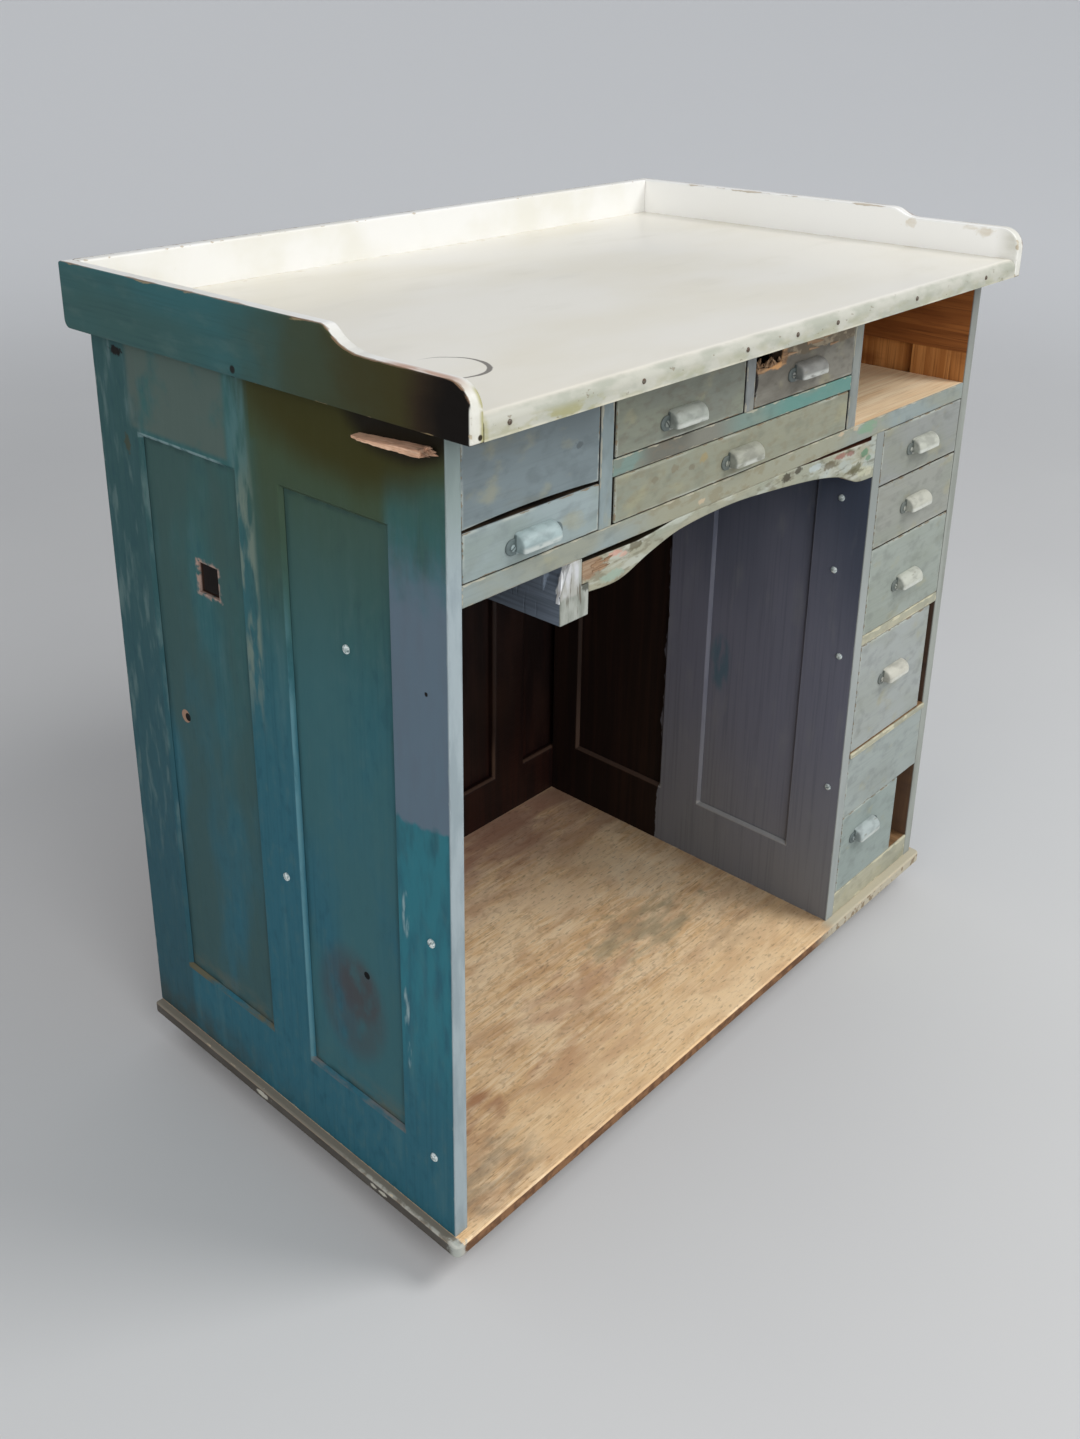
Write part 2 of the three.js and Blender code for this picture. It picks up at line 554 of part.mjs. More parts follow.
// A drawer: a front board, a box behind it that is open above, and a cup pull on the front.
// Its group stands at the front's lower left corner; headroom is measured from its carrier.
function drawer({ name, x, floor, height, headroom, pullRise, ...own }) {
  const { short = 0, play = 0, pullShift = 0, broken = false } = own;
  const group = new THREE.Group();
  group.position.set(x[0], FRONT, floor);
  bench.add(group);
  const width = x[1] - x[0] - short;
  const frontX = grow([0, width], -SLIDE - play);
  const frontZ = grow([0, height], -SLIDE);
  const outline = new THREE.Shape();
  outline.moveTo(frontX[0], frontZ[0]);
  outline.lineTo(frontX[1], frontZ[0]);
  outline.lineTo(frontX[1], frontZ[1]);
  if (broken) {
    const breakX = frontX[0] + BROKEN_CORNER_WIDTH;
    const breakZ = frontZ[1] - BROKEN_CORNER_HEIGHT;
    outline.lineTo(breakX, frontZ[1]);
    outline.lineTo(breakX - BROKEN_CORNER_SLOPE, breakZ);
    outline.lineTo(frontX[0] + BROKEN_CORNER_WIDTH / 2, breakZ - BROKEN_CORNER_SLOPE);
    outline.lineTo(frontX[0], breakZ);
  } else {
    outline.lineTo(frontX[0], frontZ[1]);
  }
  piece(`${name}_front`, alongY(outline, [0, FRONT_THICKNESS]), FINISH.greyGreen, group);
  const boxY = [FRONT_THICKNESS, BACK_INNER - FRONT - BOX_BACK_SPACE];
  const boxZ = [RUN, headroom - BOX_HEAD_SPACE];
  const insideY = [0, boxY[1] - BOX_SIDE];
  const inside = board(grow(frontX, -BOX_SIDE), insideY, [RUN + BOX_BOTTOM, headroom]);
  piece(`${name}_box`, cut(board(frontX, boxY, boxZ), inside), FINISH.drawerWood, group);
  const pull = piece(`${name}_pull`, PULL, FINISH.paintedIron, group);
  pull.position.set(width / 2 + pullShift, 0, height / 2 + pullRise);
}

// The upper row of drawers.
const low = { floor: CASE_FLOOR, height: WIDE_DRAWER, headroom: WIDE_DRAWER, pullRise: LOW_PULL_RISE };
drawer({ name: "left_drawer", x: leftBlankX, ...low });
drawer({ name: "wide_drawer", x: [CENTRE_LEFT, CENTRE_RIGHT], ...low, play: WIDE_DRAWER_PLAY });
const high = { floor: SMALL_FLOOR, height: SMALL_DRAWER, headroom: SMALL_DRAWER };
const smallLeft = { ...high, pullRise: SMALL_LEFT_PULL_RISE, play: SMALL_LEFT_DRAWER_PLAY };
drawer({ name: "small_left_drawer", x: [CENTRE_LEFT, SMALL_SPLIT], ...smallLeft });
const smallRight = { ...high, pullRise: SMALL_RIGHT_PULL_RISE, broken: true };
drawer({ name: "small_right_drawer", x: [splitX[1], CENTRE_RIGHT], ...smallRight });

// The pedestal's drawers; two of them are narrower than their opening and leave a slot on the right.
const stack = [
  {
    name: "pedestal_drawer_1",
    floor: DRAWER_1_FLOOR,
    height: DRAWER_1,
    headroom: DRAWER_1,
    pullRise: UPPER_PULL_RISE,
  },
  {
    name: "pedestal_drawer_2",
    floor: DRAWER_2_FLOOR,
    height: DRAWER_2,
    headroom: DRAWER_2 - RUNNER,
    pullRise: UPPER_PULL_RISE,
  },
  {
    name: "pedestal_drawer_3",
    floor: DRAWER_3_FLOOR,
    height: DRAWER_3,
    headroom: DRAWER_3 - RUNNER,
    pullRise: DRAWER_3_PULL_RISE,
  },
  {
    name: "pedestal_drawer_4",
    floor: DRAWER_4_FLOOR,
    height: DRAWER_4,
    headroom: DRAWER_4,
    short: DRAWER_4_SHORT,
    pullRise: DRAWER_4_PULL_RISE,
  },
  {
    name: "pedestal_drawer_5",
    floor: DRAWER_5_FLOOR,
    height: DRAWER_5,
    headroom: DRAWER_5,
    short: DRAWER_5_SHORT,
    pullRise: DRAWER_5_PULL_RISE,
    pullShift: DRAWER_5_PULL_SHIFT,
  },
];
for (const spec of stack) {
  drawer({ x: PEDESTAL_X, ...spec });
}

export default bench;
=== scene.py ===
import math
import random

import bmesh
import bpy
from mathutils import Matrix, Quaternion, Vector


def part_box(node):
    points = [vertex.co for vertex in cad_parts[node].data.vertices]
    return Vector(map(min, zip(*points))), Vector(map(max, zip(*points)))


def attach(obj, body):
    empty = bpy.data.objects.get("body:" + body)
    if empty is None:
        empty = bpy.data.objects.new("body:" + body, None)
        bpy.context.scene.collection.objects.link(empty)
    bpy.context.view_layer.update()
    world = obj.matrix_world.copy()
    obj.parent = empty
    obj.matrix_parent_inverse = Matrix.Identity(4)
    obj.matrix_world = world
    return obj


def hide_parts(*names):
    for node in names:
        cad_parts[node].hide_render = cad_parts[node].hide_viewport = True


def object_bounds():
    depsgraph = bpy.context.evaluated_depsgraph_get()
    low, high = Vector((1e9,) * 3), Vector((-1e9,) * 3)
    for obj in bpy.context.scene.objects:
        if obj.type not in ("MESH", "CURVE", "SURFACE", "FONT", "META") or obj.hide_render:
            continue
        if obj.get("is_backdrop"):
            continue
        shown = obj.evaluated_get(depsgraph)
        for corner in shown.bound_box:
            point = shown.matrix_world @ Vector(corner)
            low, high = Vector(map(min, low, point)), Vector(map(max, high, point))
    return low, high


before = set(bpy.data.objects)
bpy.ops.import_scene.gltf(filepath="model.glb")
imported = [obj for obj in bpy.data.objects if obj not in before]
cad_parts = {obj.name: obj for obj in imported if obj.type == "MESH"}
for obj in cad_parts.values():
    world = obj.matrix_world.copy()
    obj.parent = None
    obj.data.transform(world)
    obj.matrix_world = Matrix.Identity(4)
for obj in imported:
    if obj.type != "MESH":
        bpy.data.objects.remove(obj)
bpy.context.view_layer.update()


# Plinth: four softwood boards glued into a ring and set back under the base, so that toes fit under it.
# They were stained dark once, and shoes and mops have greyed them along the floor.
MM = 0.001


def shade(red, green, blue):
    """A colour in the 0 to 255 of a colour card, as the linear light that a shader takes."""
    card = (level / 255 for level in (red, green, blue))
    return tuple(c / 12.92 if c <= 0.04045 else ((c + 0.055) / 1.055) ** 2.4 for c in card) + (1.0,)


class Value:
    """What varies over a surface. Arithmetic is for numbers and adds Math nodes; & and | take the lower
    and the higher of two, so that they join masks."""

    def __init__(self, finish, socket):
        self.finish = finish
        self.socket = socket

    def math(self, operation, first, second=0.0):
        return self.finish.node("ShaderNodeMath", {"operation": operation}, {0: first, 1: second})

    def __add__(self, other):
        return self.math("ADD", self, other)

    def __radd__(self, other):
        return self.math("ADD", other, self)

    def __sub__(self, other):
        return self.math("SUBTRACT", self, other)

    def __rsub__(self, other):
        return self.math("SUBTRACT", other, self)

    def __mul__(self, other):
        return self.math("MULTIPLY", self, other)

    def __rmul__(self, other):
        return self.math("MULTIPLY", other, self)

    def __and__(self, other):
        return self.math("MINIMUM", self, other)

    def __or__(self, other):
        return self.math("MAXIMUM", self, other)

    def __abs__(self):
        return self.math("ABSOLUTE", self)

    def rise(self, low, high):
        """0 up to low and 1 from high on, with a soft step between; it falls where low is above high."""
        limits = {"Value": self, "From Min": low, "From Max": high}
        return self.finish.node("ShaderNodeMapRange", {"interpolation_type": "SMOOTHSTEP"}, limits)


class Finish:
    """A material worked out from where each point lies on the bench, in metres."""

    def __init__(self, name, shine=0.25):
        self.material = bpy.data.materials.new(name)
        self.material.use_nodes = True
        self.tree = self.material.node_tree
        self.shader = self.tree.nodes["Principled BSDF"]
        self.shader.inputs["Specular IOR Level"].default_value = shine
        self.place = self.node("ShaderNodeTexCoord", output="Object")
        axes = self.node("ShaderNodeSeparateXYZ", {}, {0: self.place}).socket.node
        self.x, self.y, self.z = (Value(self, socket) for socket in axes.outputs)

    def node(self, kind, settings=None, sockets=None, output=0):
        """Add a node: its settings first, then the numbers or links of its sockets."""
        made = self.tree.nodes.new(kind)
        for setting, choice in (settings or {}).items():
            setattr(made, setting, choice)
        for socket, value in (sockets or {}).items():
            self.feed(made.inputs[socket], value)
        return Value(self, made.outputs[output])

    def feed(self, socket, value):
        if isinstance(value, Value):
            self.tree.links.new(value.socket, socket)
        else:
            socket.default_value = value

    def blend(self, amount, under, over):
        """One colour laid over another, as thickly as amount says."""
        return self.node("ShaderNodeMix", {"data_type": "RGBA"}, {0: amount, 6: under, 7: over}, 2)

    def cloud(self, size, seed, along="", length=1.0, detail=3.0, twist=0.0):
        """Blotches from 0 to 1, about size metres across and length times as long along one axis."""
        per_metre = [1 / (size * (length if axis == along else 1)) for axis in "xyz"]
        start = (seed * 3.1, seed * 5.3, seed * 7.7)
        sockets = {0: self.place, 1: per_metre, 2: start}
        spot = self.node("ShaderNodeVectorMath", {"operation": "MULTIPLY_ADD"}, sockets)
        look = {"Vector": spot, "Scale": 1.0, "Detail": detail, "Distortion": twist}
        return self.node("ShaderNodeTexNoise", {}, look)

    def edge(self, low, high):
        """How far a point on a board is from the nearest of the board's twelve edges."""
        axes = zip((self.x, self.y, self.z), low, high)
        first, second, third = ((axis - start) & (end - axis) for axis, start, end in axes)
        return (first & second) | ((first | second) & third)

    def band(self, axis, low, high, soft):
        """1 between two places along an axis, with soft ends."""
        return axis.rise(low - soft, low + soft) * axis.rise(high + soft, high - soft)

    def spot(self, across, up, place, radius, stretch=1.0, fray=0.0):
        """1 within a round mark and 0 outside it. Stretch makes it that many times as wide as high, and fray
        is the size of the tatters of its edge."""
        sideways = (across - place[0] * MM) * (1 / stretch)
        upwards = up - place[1] * MM
        distance = sideways * sideways + upwards * upwards
        if fray:
            tatters = self.cloud(fray * MM, place[0] * 0.37 + place[1] * 0.11, detail=4)
            distance = distance * (tatters * 3 - 0.5)
        square = (radius * MM) ** 2
        return distance.rise(1.5 * square, 0.5 * square)

    def lay(self, colour, roughness, relief, depth):
        """Lay the finish on: its colour, its roughness and the height of what stands on the surface."""
        self.feed(self.shader.inputs["Base Color"], colour)
        self.feed(self.shader.inputs["Roughness"], roughness)
        bump = self.node("ShaderNodeBump", {}, {"Height": relief, "Distance": depth}, "Normal")
        self.feed(self.shader.inputs["Normal"], bump)


def wood(finish, along, seed, pale, brown, dark, figure=14 * MM, length=28):
    """The colour of planed wood, and the relief of its fibres, with the grain along one axis."""
    rings = finish.cloud(figure, seed, along, length, detail=4, twist=0.7)
    fibre = finish.cloud(1.4 * MM, seed + 1, along, 45, detail=2)
    colour = finish.blend(rings.rise(0.32, 0.66), pale, brown)
    return finish.blend(fibre.rise(0.48, 0.78) * 0.6, colour, dark), fibre


def soften(piece, width):
    """Take the sharpness off a piece's edges, as sandpaper and use do."""
    eased = piece.modifiers.new("eased_edges", "BEVEL")
    eased.width = width
    eased.segments = 2
    eased.limit_method = "ANGLE"
    eased.angle_limit = math.radians(40)


def dress(node, finish, ease=0.8 * MM):
    """Give a solid its finish and soft edges."""
    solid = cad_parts[node]
    solid.material_slots[0].material = finish.material
    weld = solid.modifiers.new("joined_corners", "WELD")
    weld.merge_threshold = 0.01 * MM
    planes = solid.modifiers.new("whole_faces", "DECIMATE")
    planes.decimate_type = "DISSOLVE"
    planes.angle_limit = math.radians(0.5)
    soften(solid, ease)
    even = solid.modifiers.new("even_shading", "WEIGHTED_NORMAL")
    even.keep_sharp = True


plinth = Finish("plinth_stain")
stain, fibre = wood(plinth, "x", 1, shade(52, 38, 30), shade(38, 27, 21), shade(24, 17, 13))
scuffs = plinth.z.rise(22 * MM, 0) * plinth.cloud(18 * MM, 2, "x", 5).rise(0.4, 0.7)
plinth.lay(plinth.blend(scuffs, stain, shade(98, 90, 80)), 0.7 - scuffs * 0.1, fibre, 0.3 * MM)
dress("plinth_frame", plinth)


# Base board: a wide floor glued up from softwood boards, which the bench's walls stand on.
# Its top is worn to bare wood, pale where feet rubbed it and blotched by old spills; painted light makes it
# paler towards the front and in one patch, and painted shade darker towards the back. The edges of the lip
# still carry brown and cream paint.
BASE_LOW, BASE_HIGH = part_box("base_board")
FLOOR_STAINS_AND_LIT_PATCH = (
    ((58, -94), 46, 2.0, (164, 150, 120)),
    ((-110, -105), 30, 3.0, (206, 164, 130)),
    ((-180, -195), 36, 3.0, (188, 138, 104)),
    ((-366, -160), 32, 1.5, (164, 110, 78)),
    ((-400, -236), 40, 1.6, (140, 126, 108)),
    ((90, 60), 60, 2.0, (240, 208, 168)),
    # Painted light: this pale patch lifts the shade that the pedestal side and apron cast on the floor.
    ((170, -10), 46, 1.4, (254, 230, 194)),
    ((140, -185), 24, 2.4, (176, 142, 110)),
)
base = Finish("base_board_wood", 0.2)
bare, fibre = wood(base, "x", 3, shade(250, 221, 180), shade(236, 197, 147), shade(176, 131, 89), 7 * MM, 7)
rubbed = base.cloud(60 * MM, 4, "x", 1.8, detail=6, twist=0.6)
bare = base.blend(rubbed.rise(0.42, 0.66) * 0.6, bare, shade(252, 226, 187))
soaked = base.cloud(38 * MM, 5, "x", 2.6, detail=8, twist=0.5)
bare = base.blend(soaked.rise(0.46, 0.64) * 0.5, bare, shade(190, 141, 99))
mottled = base.cloud(10 * MM, 2, "x", 1.6, detail=8, twist=0.8)
bare = base.blend(mottled.rise(0.5, 0.68) * 0.35, bare, shade(170, 134, 98))
# Lay the stains, and the one patch of painted light, on the floor.
for place, radius, stretch, tone in FLOOR_STAINS_AND_LIT_PATCH:
    cloudy = base.cloud(16 * MM, radius, "x", 3, detail=8).rise(0.3, 0.66)
    floor_mark = base.spot(base.x, base.y, place, radius, stretch, 40) * cloudy
    bare = base.blend(floor_mark * 0.75, bare, shade(*tone))
# Painted shade: the floor darker and redder towards the back of the kneehole, in blotches.
back_shade = (base.y + rubbed * 120 * MM).rise(130 * MM, 280 * MM) * soaked.rise(0.25, 0.5)
bare = base.blend(back_shade * 0.65, bare, shade(174, 126, 112))
# Painted light: the floor paler towards the front of the kneehole, except at the far left.
front_light = (base.y + soaked * 60 * MM).rise(-120 * MM, -180 * MM) * base.x.rise(-400 * MM, -320 * MM)
bare = base.blend(front_light * 0.45, bare, shade(250, 216, 168))
# The floor darker in blotches along the foot of the pedestal side.
darker_by_pedestal = base.x.rise(190 * MM, 250 * MM) * soaked.rise(0.2, 0.5)
bare = base.blend(darker_by_pedestal * 0.5, bare, shade(140, 114, 90))
specks = base.cloud(3 * MM, 6, "x", 4, detail=3).rise(0.56, 0.7)
bare = base.blend(specks * 0.4, bare, shade(134, 104, 80))
near_edge = base.edge(BASE_LOW, BASE_HIGH)
flaked = base.cloud(11 * MM, 7, detail=6)
cream = base.x.rise(190 * MM, 260 * MM)
lip = base.blend(flaked.rise(0.4, 0.6), shade(104, 74, 52), shade(134, 98, 68))
lip = base.blend(cream, lip, base.blend(flaked.rise(0.54, 0.62), shade(184, 176, 156), shade(140, 124, 102)))
side_paint = base.blend(base.cloud(16 * MM, 8, "y", 4, detail=5), shade(96, 92, 86), shade(66, 60, 54))
lip = base.blend(base.x.rise(-500 * MM, -504 * MM), lip, side_paint)
below_top = base.z.rise(BASE_HIGH.z - 1.5 * MM, BASE_HIGH.z - 2.6 * MM)
on_left_lip = base.x.rise(-497.5 * MM, -499 * MM)
on_right_lip = base.y.rise(-266 * MM, -270 * MM) * base.x.rise(230 * MM, 262 * MM)
colour = base.blend(below_top, bare, lip)
colour = base.blend(on_left_lip * (1 - below_top), colour, shade(126, 120, 108))
colour = base.blend(on_right_lip * (1 - below_top), colour, shade(188, 180, 158))
corner = base.spot(base.x, base.y, (-508, -282), 12, fray=5) * flaked.rise(0.3, 0.5)
colour = base.blend(corner * 0.8, colour, shade(186, 190, 182))
rubbed_lip = base.x.rise(-504 * MM, -506 * MM) * base.z.rise(52 * MM, 54 * MM)
rubbed_lip = rubbed_lip * base.y.rise(-60 * MM, -180 * MM) * flaked.rise(0.36, 0.56)
colour = base.blend(rubbed_lip * 0.6, colour, shade(196, 196, 186))
for y, reach in ((55, 4), (-148, 2), (-164, 2.4)):
    chip = base.spot(base.y, base.z, (y, 48), reach, 2.6, 4) * base.x.rise(-502 * MM, -506 * MM)
    colour = base.blend(chip * 0.8, colour, shade(206, 202, 186))
knocks = (base.cloud(18 * MM, 11, detail=5) - near_edge * 90).rise(0.52, 0.6)
colour = base.blend(knocks * 0.7, colour, shade(206, 186, 152))
base.lay(colour, 0.66 + fibre * 0.2, fibre + flaked * 0.4 - knocks, 0.35 * MM)
dress("base_board", base, 2.2 * MM)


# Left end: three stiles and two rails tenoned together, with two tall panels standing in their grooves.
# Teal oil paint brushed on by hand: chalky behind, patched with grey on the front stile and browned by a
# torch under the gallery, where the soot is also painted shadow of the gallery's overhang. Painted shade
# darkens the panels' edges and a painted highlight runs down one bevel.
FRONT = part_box("left_end_frame")[0].y
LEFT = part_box("left_end_frame")[0].x
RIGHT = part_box("right_end_frame")[1].x
TEAL = shade(46, 98, 113)
BRIGHT_TEAL = shade(50, 120, 132)
DEEP_TEAL = shade(30, 74, 88)
GREEN_TEAL = shade(54, 96, 94)
CHALK = shade(104, 126, 124)
BARE_DARK = shade(44, 28, 20)
TONGUE = 7.7 * MM


def window(panel):
    """The opening that a panel shows in: its middle and half its size, along Y and Z."""
    low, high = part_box(panel)
    half = ((high.y - low.y) / 2 - TONGUE, (high.z - low.z) / 2 - TONGUE)
    return ((low.y + high.y) / 2, (low.z + high.z) / 2), half


def outside_window(finish, panel):
    """How far a point is outside a panel's opening, and below 0 inside it."""
    middle, half = window(panel)
    return (abs(finish.y - middle[0]) - half[0]) | (abs(finish.z - middle[1]) - half[1])


def teal_coat(finish, seed):
    """Hand-brushed teal: deep and blue low down, greener above, streaked along the brush."""
    swathe = finish.cloud(220 * MM, seed, "z", 2.5, detail=3)
    strokes = finish.cloud(3.5 * MM, seed + 1, "z", 55)
    chalky = finish.cloud(24 * MM, seed + 2, "z", 6, detail=6)
    worn = finish.cloud(13 * MM, seed + 3, "z", 1.8, detail=8)
    colour = finish.blend((finish.z + swathe * 0.5).rise(0.6, 1.15), TEAL, GREEN_TEAL)
    colour = finish.blend(worn.rise(0.5, 0.72) * 0.4, colour, shade(72, 106, 110))
    colour = finish.blend(worn.rise(0.46, 0.3) * 0.35, colour, DEEP_TEAL)
    colour = finish.blend(strokes.rise(0.45, 0.75) * 0.3, colour, DEEP_TEAL)
    return finish.blend(chalky.rise(0.54, 0.76) * 0.35, colour, shade(80, 116, 120)), strokes


def torch_brown(finish, colour, seed, strength):
    """The browning of the upper front corner: green-brown far from the flame, olive and sooty near it.
    The soot under the gallery is also painted shadow of its overhang.
    """
    wobble = (finish.cloud(70 * MM, seed, "z", 2, detail=4) - 0.5) * 0.1
    reach = finish.y.rise(10 * MM, 3 * MM) * finish.z.rise(0.87, 0.9) | finish.y.rise(40 * MM, -16 * MM)
    scorched = reach * (finish.z + wobble).rise(0.6, 0.92) * strength
    scorched = scorched * (1 - finish.y.rise(-180 * MM, -200 * MM) * finish.z.rise(0.93, 0.89) * 0.6)
    colour = finish.blend(scorched, colour, shade(64, 74, 46))
    olive = finish.spot(finish.y, finish.z + wobble * 0.3, (-132, 972), 92, 1.7)
    colour = finish.blend(olive * 0.9, colour, shade(56, 52, 14))
    # Soot and painted shadow: a near-black spot under the gallery's overhang.
    soot = finish.spot(finish.y, finish.z + wobble * 0.3, (-215, 962), 40, 2.0)
    return finish.blend(soot * 0.9, colour, shade(20, 13, 8))


left_end = Finish("left_end_paint", 0.12)
coat, strokes = teal_coat(left_end, 11)
chalky = left_end.cloud(15 * MM, 14, "z", 4, detail=7)
rear_stile = left_end.y.rise(198 * MM, 206 * MM)
coat = left_end.blend(rear_stile * 0.5, coat, shade(48, 70, 74))
coat = left_end.blend(rear_stile * chalky.rise(0.5, 0.7) * left_end.z.rise(0.2, 0.4) * 0.55, coat, CHALK)
front_stile = left_end.y.rise(-187 * MM, -191 * MM)
bright = front_stile * chalky.rise(0.7, 0.4) * left_end.z.rise(0.9, 0.8) * left_end.z.rise(0.16, 0.36)
coat = left_end.blend(bright * 0.75, coat, BRIGHT_TEAL)
coat = torch_brown(left_end, coat, 15, 0.9)
scuffed = left_end.band(left_end.y, 8 * MM, 36 * MM, 5 * MM) * left_end.band(left_end.z, 0.6, 0.86, 0.06)
coat = left_end.blend(scuffed * chalky.rise(0.42, 0.58) * 0.7, coat, shade(124, 136, 122))
putty = left_end.band(left_end.y, 46 * MM, 218 * MM, 6 * MM) * left_end.z.rise(857 * MM, 864 * MM)
putty = putty * left_end.cloud(50 * MM, 16, detail=5).rise(0.25, 0.5)
coat = left_end.blend(putty * 0.85, coat, shade(86, 99, 92))
wiped = left_end.band(left_end.y, 12 * MM, 44 * MM, 4 * MM) * left_end.z.rise(0.83, 0.88)
coat = left_end.blend(wiped * chalky.rise(0.35, 0.6) * 0.6, coat, shade(84, 120, 122))
ragged = (left_end.cloud(22 * MM, 17, detail=4) - 0.5) * 0.03
patch = front_stile * (left_end.z + left_end.y * 0.12 + ragged).rise(523 * MM, 530 * MM)
patch = patch * (left_end.z + ragged * 2).rise(0.86, 0.77)
coat = left_end.blend(patch * 0.85, coat, shade(100, 112, 126))
front_window = outside_window(left_end, "left_end_panel_front")
rear_window = outside_window(left_end, "left_end_panel_rear")
bevel = (front_window & rear_window).rise(6 * MM, 4 * MM)
top_bevel = bevel * left_end.z.rise(849 * MM, 851 * MM)
top_bevel = top_bevel * left_end.band(left_end.y, 62 * MM, 205 * MM, 12 * MM)
coat = left_end.blend(top_bevel * chalky.rise(0.3, 0.5) * 0.7, coat, shade(150, 174, 176))
# Painted highlight: a pale line down the bevel at the front panel's rear edge.
side_bevel_highlight = bevel * left_end.band(left_end.y, -37 * MM, -33 * MM, 2 * MM) * left_end.z.rise(0.78, 0.6)
coat = left_end.blend(side_bevel_highlight * chalky.rise(0.3, 0.55) * 0.5, coat, shade(112, 158, 168))
sill = bevel * left_end.z.rise(156 * MM, 154 * MM)
dusty = left_end.blend(left_end.y.rise(0.02, -0.02), shade(104, 92, 62), shade(110, 106, 102))
settled = sill * left_end.cloud(14 * MM, 18, "y", 3, detail=5).rise(0.34, 0.6)
coat = left_end.blend(settled * 0.8, coat, dusty)
for y, z, height in ((-204, 440, 26), (-201, 322, 24), (-204, 262, 16)):
    scratch = left_end.spot(left_end.y, left_end.z, (y, z), height, 0.2)
    scratch = scratch * left_end.cloud(5 * MM, z, "z", 5, detail=5).rise(0.42, 0.7)
    coat = left_end.blend(scratch * 0.6, coat, shade(176, 196, 196))
rust_mark = left_end.spot(left_end.y, left_end.z, (230, 838), 10, 0.5, 6)
coat = left_end.blend(rust_mark * 0.6, coat, shade(72, 66, 38))
for place, radius, stretch in (((26, 954), 4, 1), ((236, 941), 4.5, 2.4), ((-240, 700), 2, 1)):
    hole = left_end.spot(left_end.y, left_end.z, place, radius, stretch, 5)
    coat = left_end.blend(hole, coat, shade(20, 16, 14))
near_edge = left_end.edge(*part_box("left_end_frame"))
chips = (left_end.cloud(9 * MM, 20, "z", 2, detail=5) - near_edge * 90).rise(0.46, 0.5)
coat = left_end.blend(chips * 0.6, coat, shade(132, 146, 142))
grime = left_end.z.rise(120 * MM, 58 * MM) * left_end.y.rise(-0.1, 0.2)
grime = grime * left_end.cloud(30 * MM, 21, detail=4).rise(0.3, 0.65)
coat = left_end.blend(grime * 0.65, coat, shade(66, 66, 56))
stain, _ = wood(left_end, "z", 22, shade(58, 36, 25), BARE_DARK, shade(24, 15, 11))
coat = left_end.blend(left_end.x.rise(LEFT + 4 * MM, LEFT + 6 * MM), coat, stain)
front_edge = left_end.y.rise(FRONT + 2 * MM, FRONT + 0.6 * MM)
edge_paint = left_end.blend(chalky.rise(0.42, 0.66) * 0.6, shade(154, 166, 170), shade(130, 143, 148))
edge_paint = left_end.blend(left_end.z.rise(0.8, 0.9) * 0.7, edge_paint, shade(122, 136, 130))
coat = left_end.blend(front_edge, coat, edge_paint)
left_end.lay(coat, 0.5 + chalky * 0.18, strokes * 0.4 - chips, 0.3 * MM)
dress("left_end_frame", left_end, 1.2 * MM)

SAWN_HOLE = (103.5, 710)
for place in ("front", "rear"):
    node = f"left_end_panel_{place}"
    panel = Finish(f"{node}_paint", 0.12)
    coat, strokes = teal_coat(panel, 24 if place == "front" else 28)
    greyed = panel.cloud(80 * MM, 31, "z", 3, detail=4)
    dull = shade(62, 84, 80) if place == "rear" else shade(60, 100, 104)
    coat = panel.blend(greyed.rise(0.3, 0.6) * 0.75, coat, dull)
    coat = torch_brown(panel, coat, 33, 0.65)
    rusty = panel.spot(panel.y, panel.z, (-108, 270), 70, 0.75) * 0.5
    rusty = rusty + panel.spot(panel.y, panel.z, (-120, 292), 38, 0.85) * 0.35
    rusty = rusty * panel.cloud(30 * MM, 34, "z", 1.5, detail=6).rise(0.2, 0.56)
    coat = panel.blend(rusty, coat, shade(72, 68, 70))
    # Painted shade: the panel darker along its edges, inside the frame's sticking.
    crevice_shade = outside_window(panel, node).rise(-8 * MM, -1 * MM)
    crevice_shade = crevice_shade * panel.cloud(20 * MM, 35, "z", 5).rise(0.3, 0.6)
    coat = panel.blend(crevice_shade * 0.45, coat, shade(28, 50, 54))
    foot = panel.z.rise(190 * MM, 152 * MM) * panel.cloud(24 * MM, 36, "y", 2, detail=5).rise(0.4, 0.66)
    coat = panel.blend(foot * 0.55, coat, shade(104, 98, 78))
    from_hole = abs(panel.y - SAWN_HOLE[0] * MM) | abs(panel.z - SAWN_HOLE[1] * MM)
    torn = (from_hole + panel.cloud(7 * MM, 37, detail=4) * 12 * MM).rise(29 * MM, 24 * MM)
    torn = torn * panel.cloud(12 * MM, 40, detail=4).rise(0.34, 0.5)
    coat = panel.blend(torn, coat, shade(166, 140, 128))
    for mark, radius, tone in (
        ((171, 520), 8, (156, 124, 104)),
        ((167, 520), 5, (14, 10, 9)),
        ((-134, 322), 4.5, (12, 10, 12)),
    ):
        broken = panel.cloud(5 * MM, 38, detail=3) * 0.5 + 0.75
        spot = panel.spot(panel.y, panel.z, mark, radius)
        coat = panel.blend((spot * broken).rise(0.3, 0.6), coat, shade(*tone))
    stain, _ = wood(panel, "z", 39, shade(58, 36, 25), BARE_DARK, shade(24, 15, 11))
    coat = panel.blend(panel.x.rise(LEFT + 7 * MM, LEFT + 10 * MM), coat, stain)
    panel.lay(coat, 0.5 + greyed * 0.14, strokes * 0.4 - torn, 0.3 * MM)
    dress(node, panel, 0.4 * MM)


# Screws of the left end: countersunk once, since painted over and rubbed bright, they hold cleats inside.
# Each is a domed steel head with a slot.
SCREW_SIDES = 16
SCREW_DISC = (-0.2, 0.12)
SCREW_DOME = ((0.97, 0.1), (0.95, 0.26), (0.74, 0.42), (0.4, 0.5))
SLOT_HALF = 0.17
DOME_STEPS = 8


